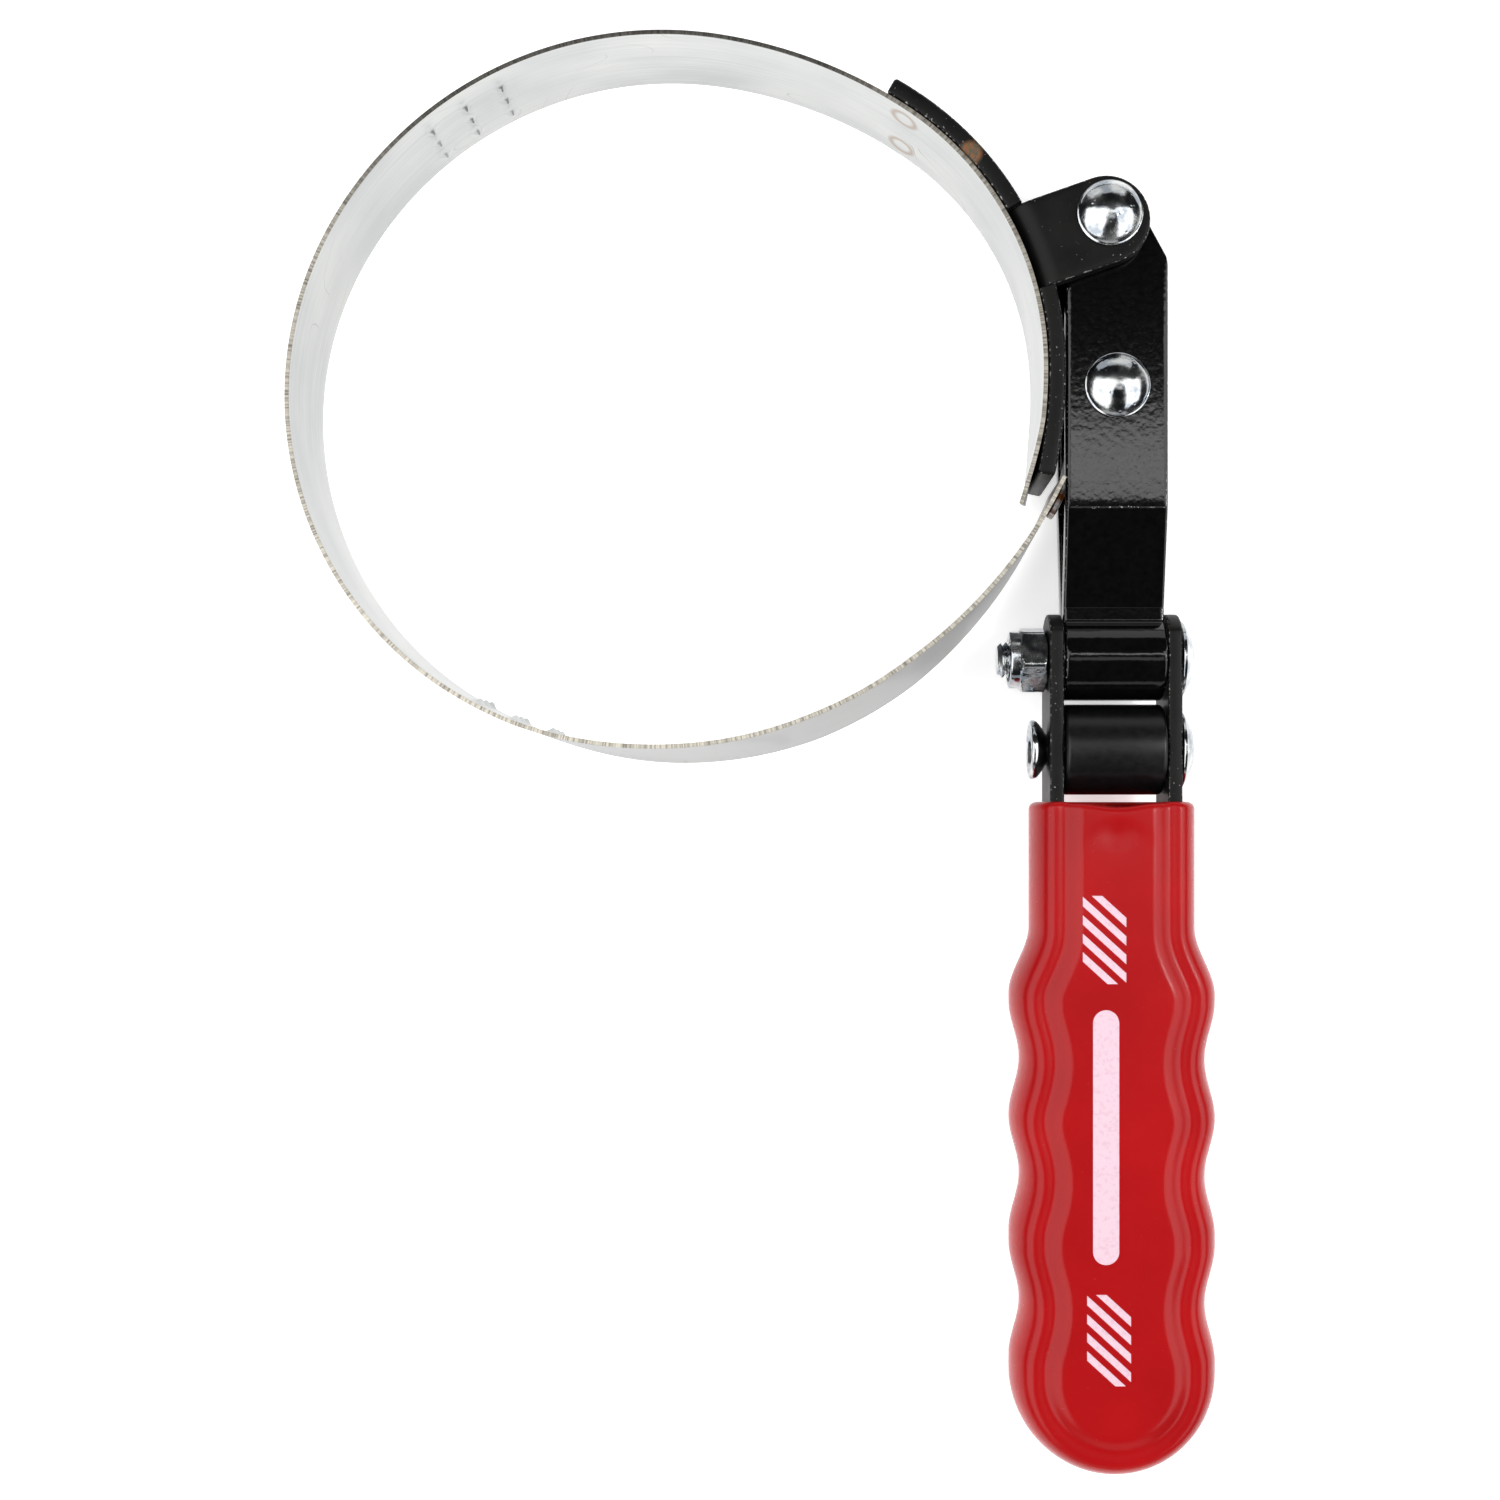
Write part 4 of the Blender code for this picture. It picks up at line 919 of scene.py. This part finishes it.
y = np.linspace(GRIP_TOP, GRIP_END_MIDDLE, 150)
turn = np.linspace(0.0, math.pi / 2, 40)[1:]
outline = np.concatenate([np.stack([grip_width(y), y], axis=1),
                          np.stack([GRIP_LOBE * np.cos(turn), GRIP_END_MIDDLE - GRIP_LOBE * np.sin(turn)],
                                   axis=1)])
slope = np.gradient(outline, axis=0)
slope /= np.linalg.norm(slope, axis=1, keepdims=True)
slope = np.concatenate([np.repeat(slope[:1], 14, axis=0), slope, slope[-2:-16:-1] * (1.0, -1.0)])
slope = np.stack([np.convolve(part, np.hanning(31)[1:-1] / 15.0, mode="valid") for part in slope.T], axis=1)
slope /= np.linalg.norm(slope, axis=1, keepdims=True)
slope[-1] = (-1.0, 0.0)
inward = np.stack([slope[:, 1], -slope[:, 0]], axis=1)
inward[0] = (-1.0, 0.0)
depth = np.concatenate([GRIP_ROUND * (1.0 - np.cos(np.linspace(0.0, math.pi / 2, 14))),
                        np.linspace(GRIP_ROUND, GRIP_INSET, 22)[1:]])
ring = outline[:, None] + depth[None, :, None] * inward[:, None]
spine_y = np.maximum(ring[:, -1, 1], GRIP_END_MIDDLE - 2.0)
fill = np.linspace(1.0, 0.0, 10)[1:]
spine = np.stack([ring[:, -1:, 0] * fill, ring[:, -1:, 1] * fill + spine_y[:, None] * (1.0 - fill)], axis=-1)
flat = np.concatenate([ring, spine], axis=1)
level = np.concatenate([grip_level(depth), np.full(9, grip_level(np.array(GRIP_INSET)))])
level = np.broadcast_to(level, flat.shape[:2])

# The mouth's rim is a half ellipse from the outside to a pocket round the legs, which closes below.
turn = np.linspace(math.pi, 0.0, 13)
scale = 1.0 - (1.0 - MOUTH_SCALE) * (1.0 - np.cos(turn)) / 2
rise = MOUTH_ROUND * np.sin(turn)
scale = np.concatenate([[MOUTH_SCALE, MOUTH_SCALE], scale[:-1]])
flatten = np.concatenate([[0.0], scale[1:]])
rise = np.concatenate([[-MOUTH_DEPTH, -MOUTH_DEPTH], rise[:-1]])
mouth = np.stack([flat[0, :, 0] * scale[:, None], flat[0, :, 1] + rise[:, None]], axis=-1)
flat = np.concatenate([mouth, flat])
level = np.concatenate([level[:1] * flatten[:, None], level])
front = np.concatenate([flat[:, ::-1], flat[:, 1:]], axis=1)
level = np.concatenate([level[:, ::-1], -level[:, 1:]], axis=1)
x, y = front[..., 0], front[..., 1]
near = (level > 0.0) * np.clip(level / 6.0, 0.0, 1.0)
sag = MOUTH_DIP * np.exp(-(x / 5.0) ** 2) * np.exp(-((y - GRIP_TOP) / 3.0) ** 2)
dent = DENT_DEPTH * np.exp(-(x / (1.2 + 0.5 * np.clip(GRIP_TOP - y, 0.0, 9.0))) ** 2)
dent *= np.exp(-((y - GRIP_TOP + 4.0) / 2.6) ** 2)
points = np.stack([x, y - near * sag, level - near * dent], axis=-1)
grip = piece("grip_dipped", "handle", [points, points * (-1.0, 1.0, 1.0)], [vinyl], around=False, sharp=50.0)
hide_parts("grip")

# ---------------------------------------------------------------- print on the grip
# Pad-printed pale ink on the flat front face: two groups of five slanting stripes, and a plain bar
# between them. The ink lies 0.03 mm proud, thinner in places where it was rubbed.

PRINT_FROM = 7.95
PRINT_TO = 8.03
STRIPE_HALF = 0.76
STRIPE_PITCH = 2.97
STRIPE_SLOPE = -0.91
STRIPE_FIRST = 2.07
STRIPE_BOXES = {"upper": (-5.75, 1.24, -52.8, -38.6), "lower": (-5.05, 2.0, -117.5, -102.8)}
BAR_MIDDLE_X = -2.0
BAR_HALF = 2.1
BAR_Y = (-98.0, -57.0)

ink, tree, shader = finish("pale_pad_print_ink", Roughness=0.4, Specular_IOR_Level=0.4)
place = node(tree, "TexCoord").outputs["Object"]
rub = node(tree, "TexNoise", {"Vector": place, "Scale": 1000 / 0.6, "Detail": 3.0})
tone = node(tree, "ValToRGB", {"Fac": rub}, [(0.3, colour("#E2BCCB")), (0.5, colour("#EBCBD8"))])
node(tree, shader, {"Base Color": tone})


def printed(name, x, low, high):
    """Thin flat patch between two curves low and high over x, on the grip's face."""
    high = np.maximum(high, low)
    ring = [(low, PRINT_FROM), (high, PRINT_FROM), (high, PRINT_TO), (low, PRINT_TO)]
    points = np.stack([np.stack([x, y, z + 0.0 * x], axis=-1) for y, z in ring], axis=1)
    return piece(name, "handle", [points], [ink])


for group, (left, right, low, high) in STRIPE_BOXES.items():
    for number in range(5):
        start = high + STRIPE_FIRST - number * STRIPE_PITCH
        first = max(left, left + (high + STRIPE_HALF - start) / STRIPE_SLOPE)
        last = min(right, left + (low - STRIPE_HALF - start) / STRIPE_SLOPE)
        x = np.linspace(first, last, 60)
        middle = start + STRIPE_SLOPE * (x - left)
        printed(f"stripe_{group}_{number + 1}", x, np.maximum(middle - STRIPE_HALF, low),
                np.minimum(middle + STRIPE_HALF, high))
turn = np.linspace(-math.pi / 2, math.pi / 2, 40)
ends = BAR_HALF * np.cos(turn)
printed("print_bar", BAR_MIDDLE_X + BAR_HALF * np.sin(turn), BAR_Y[0] + BAR_HALF - ends,
        BAR_Y[1] - BAR_HALF + ends)
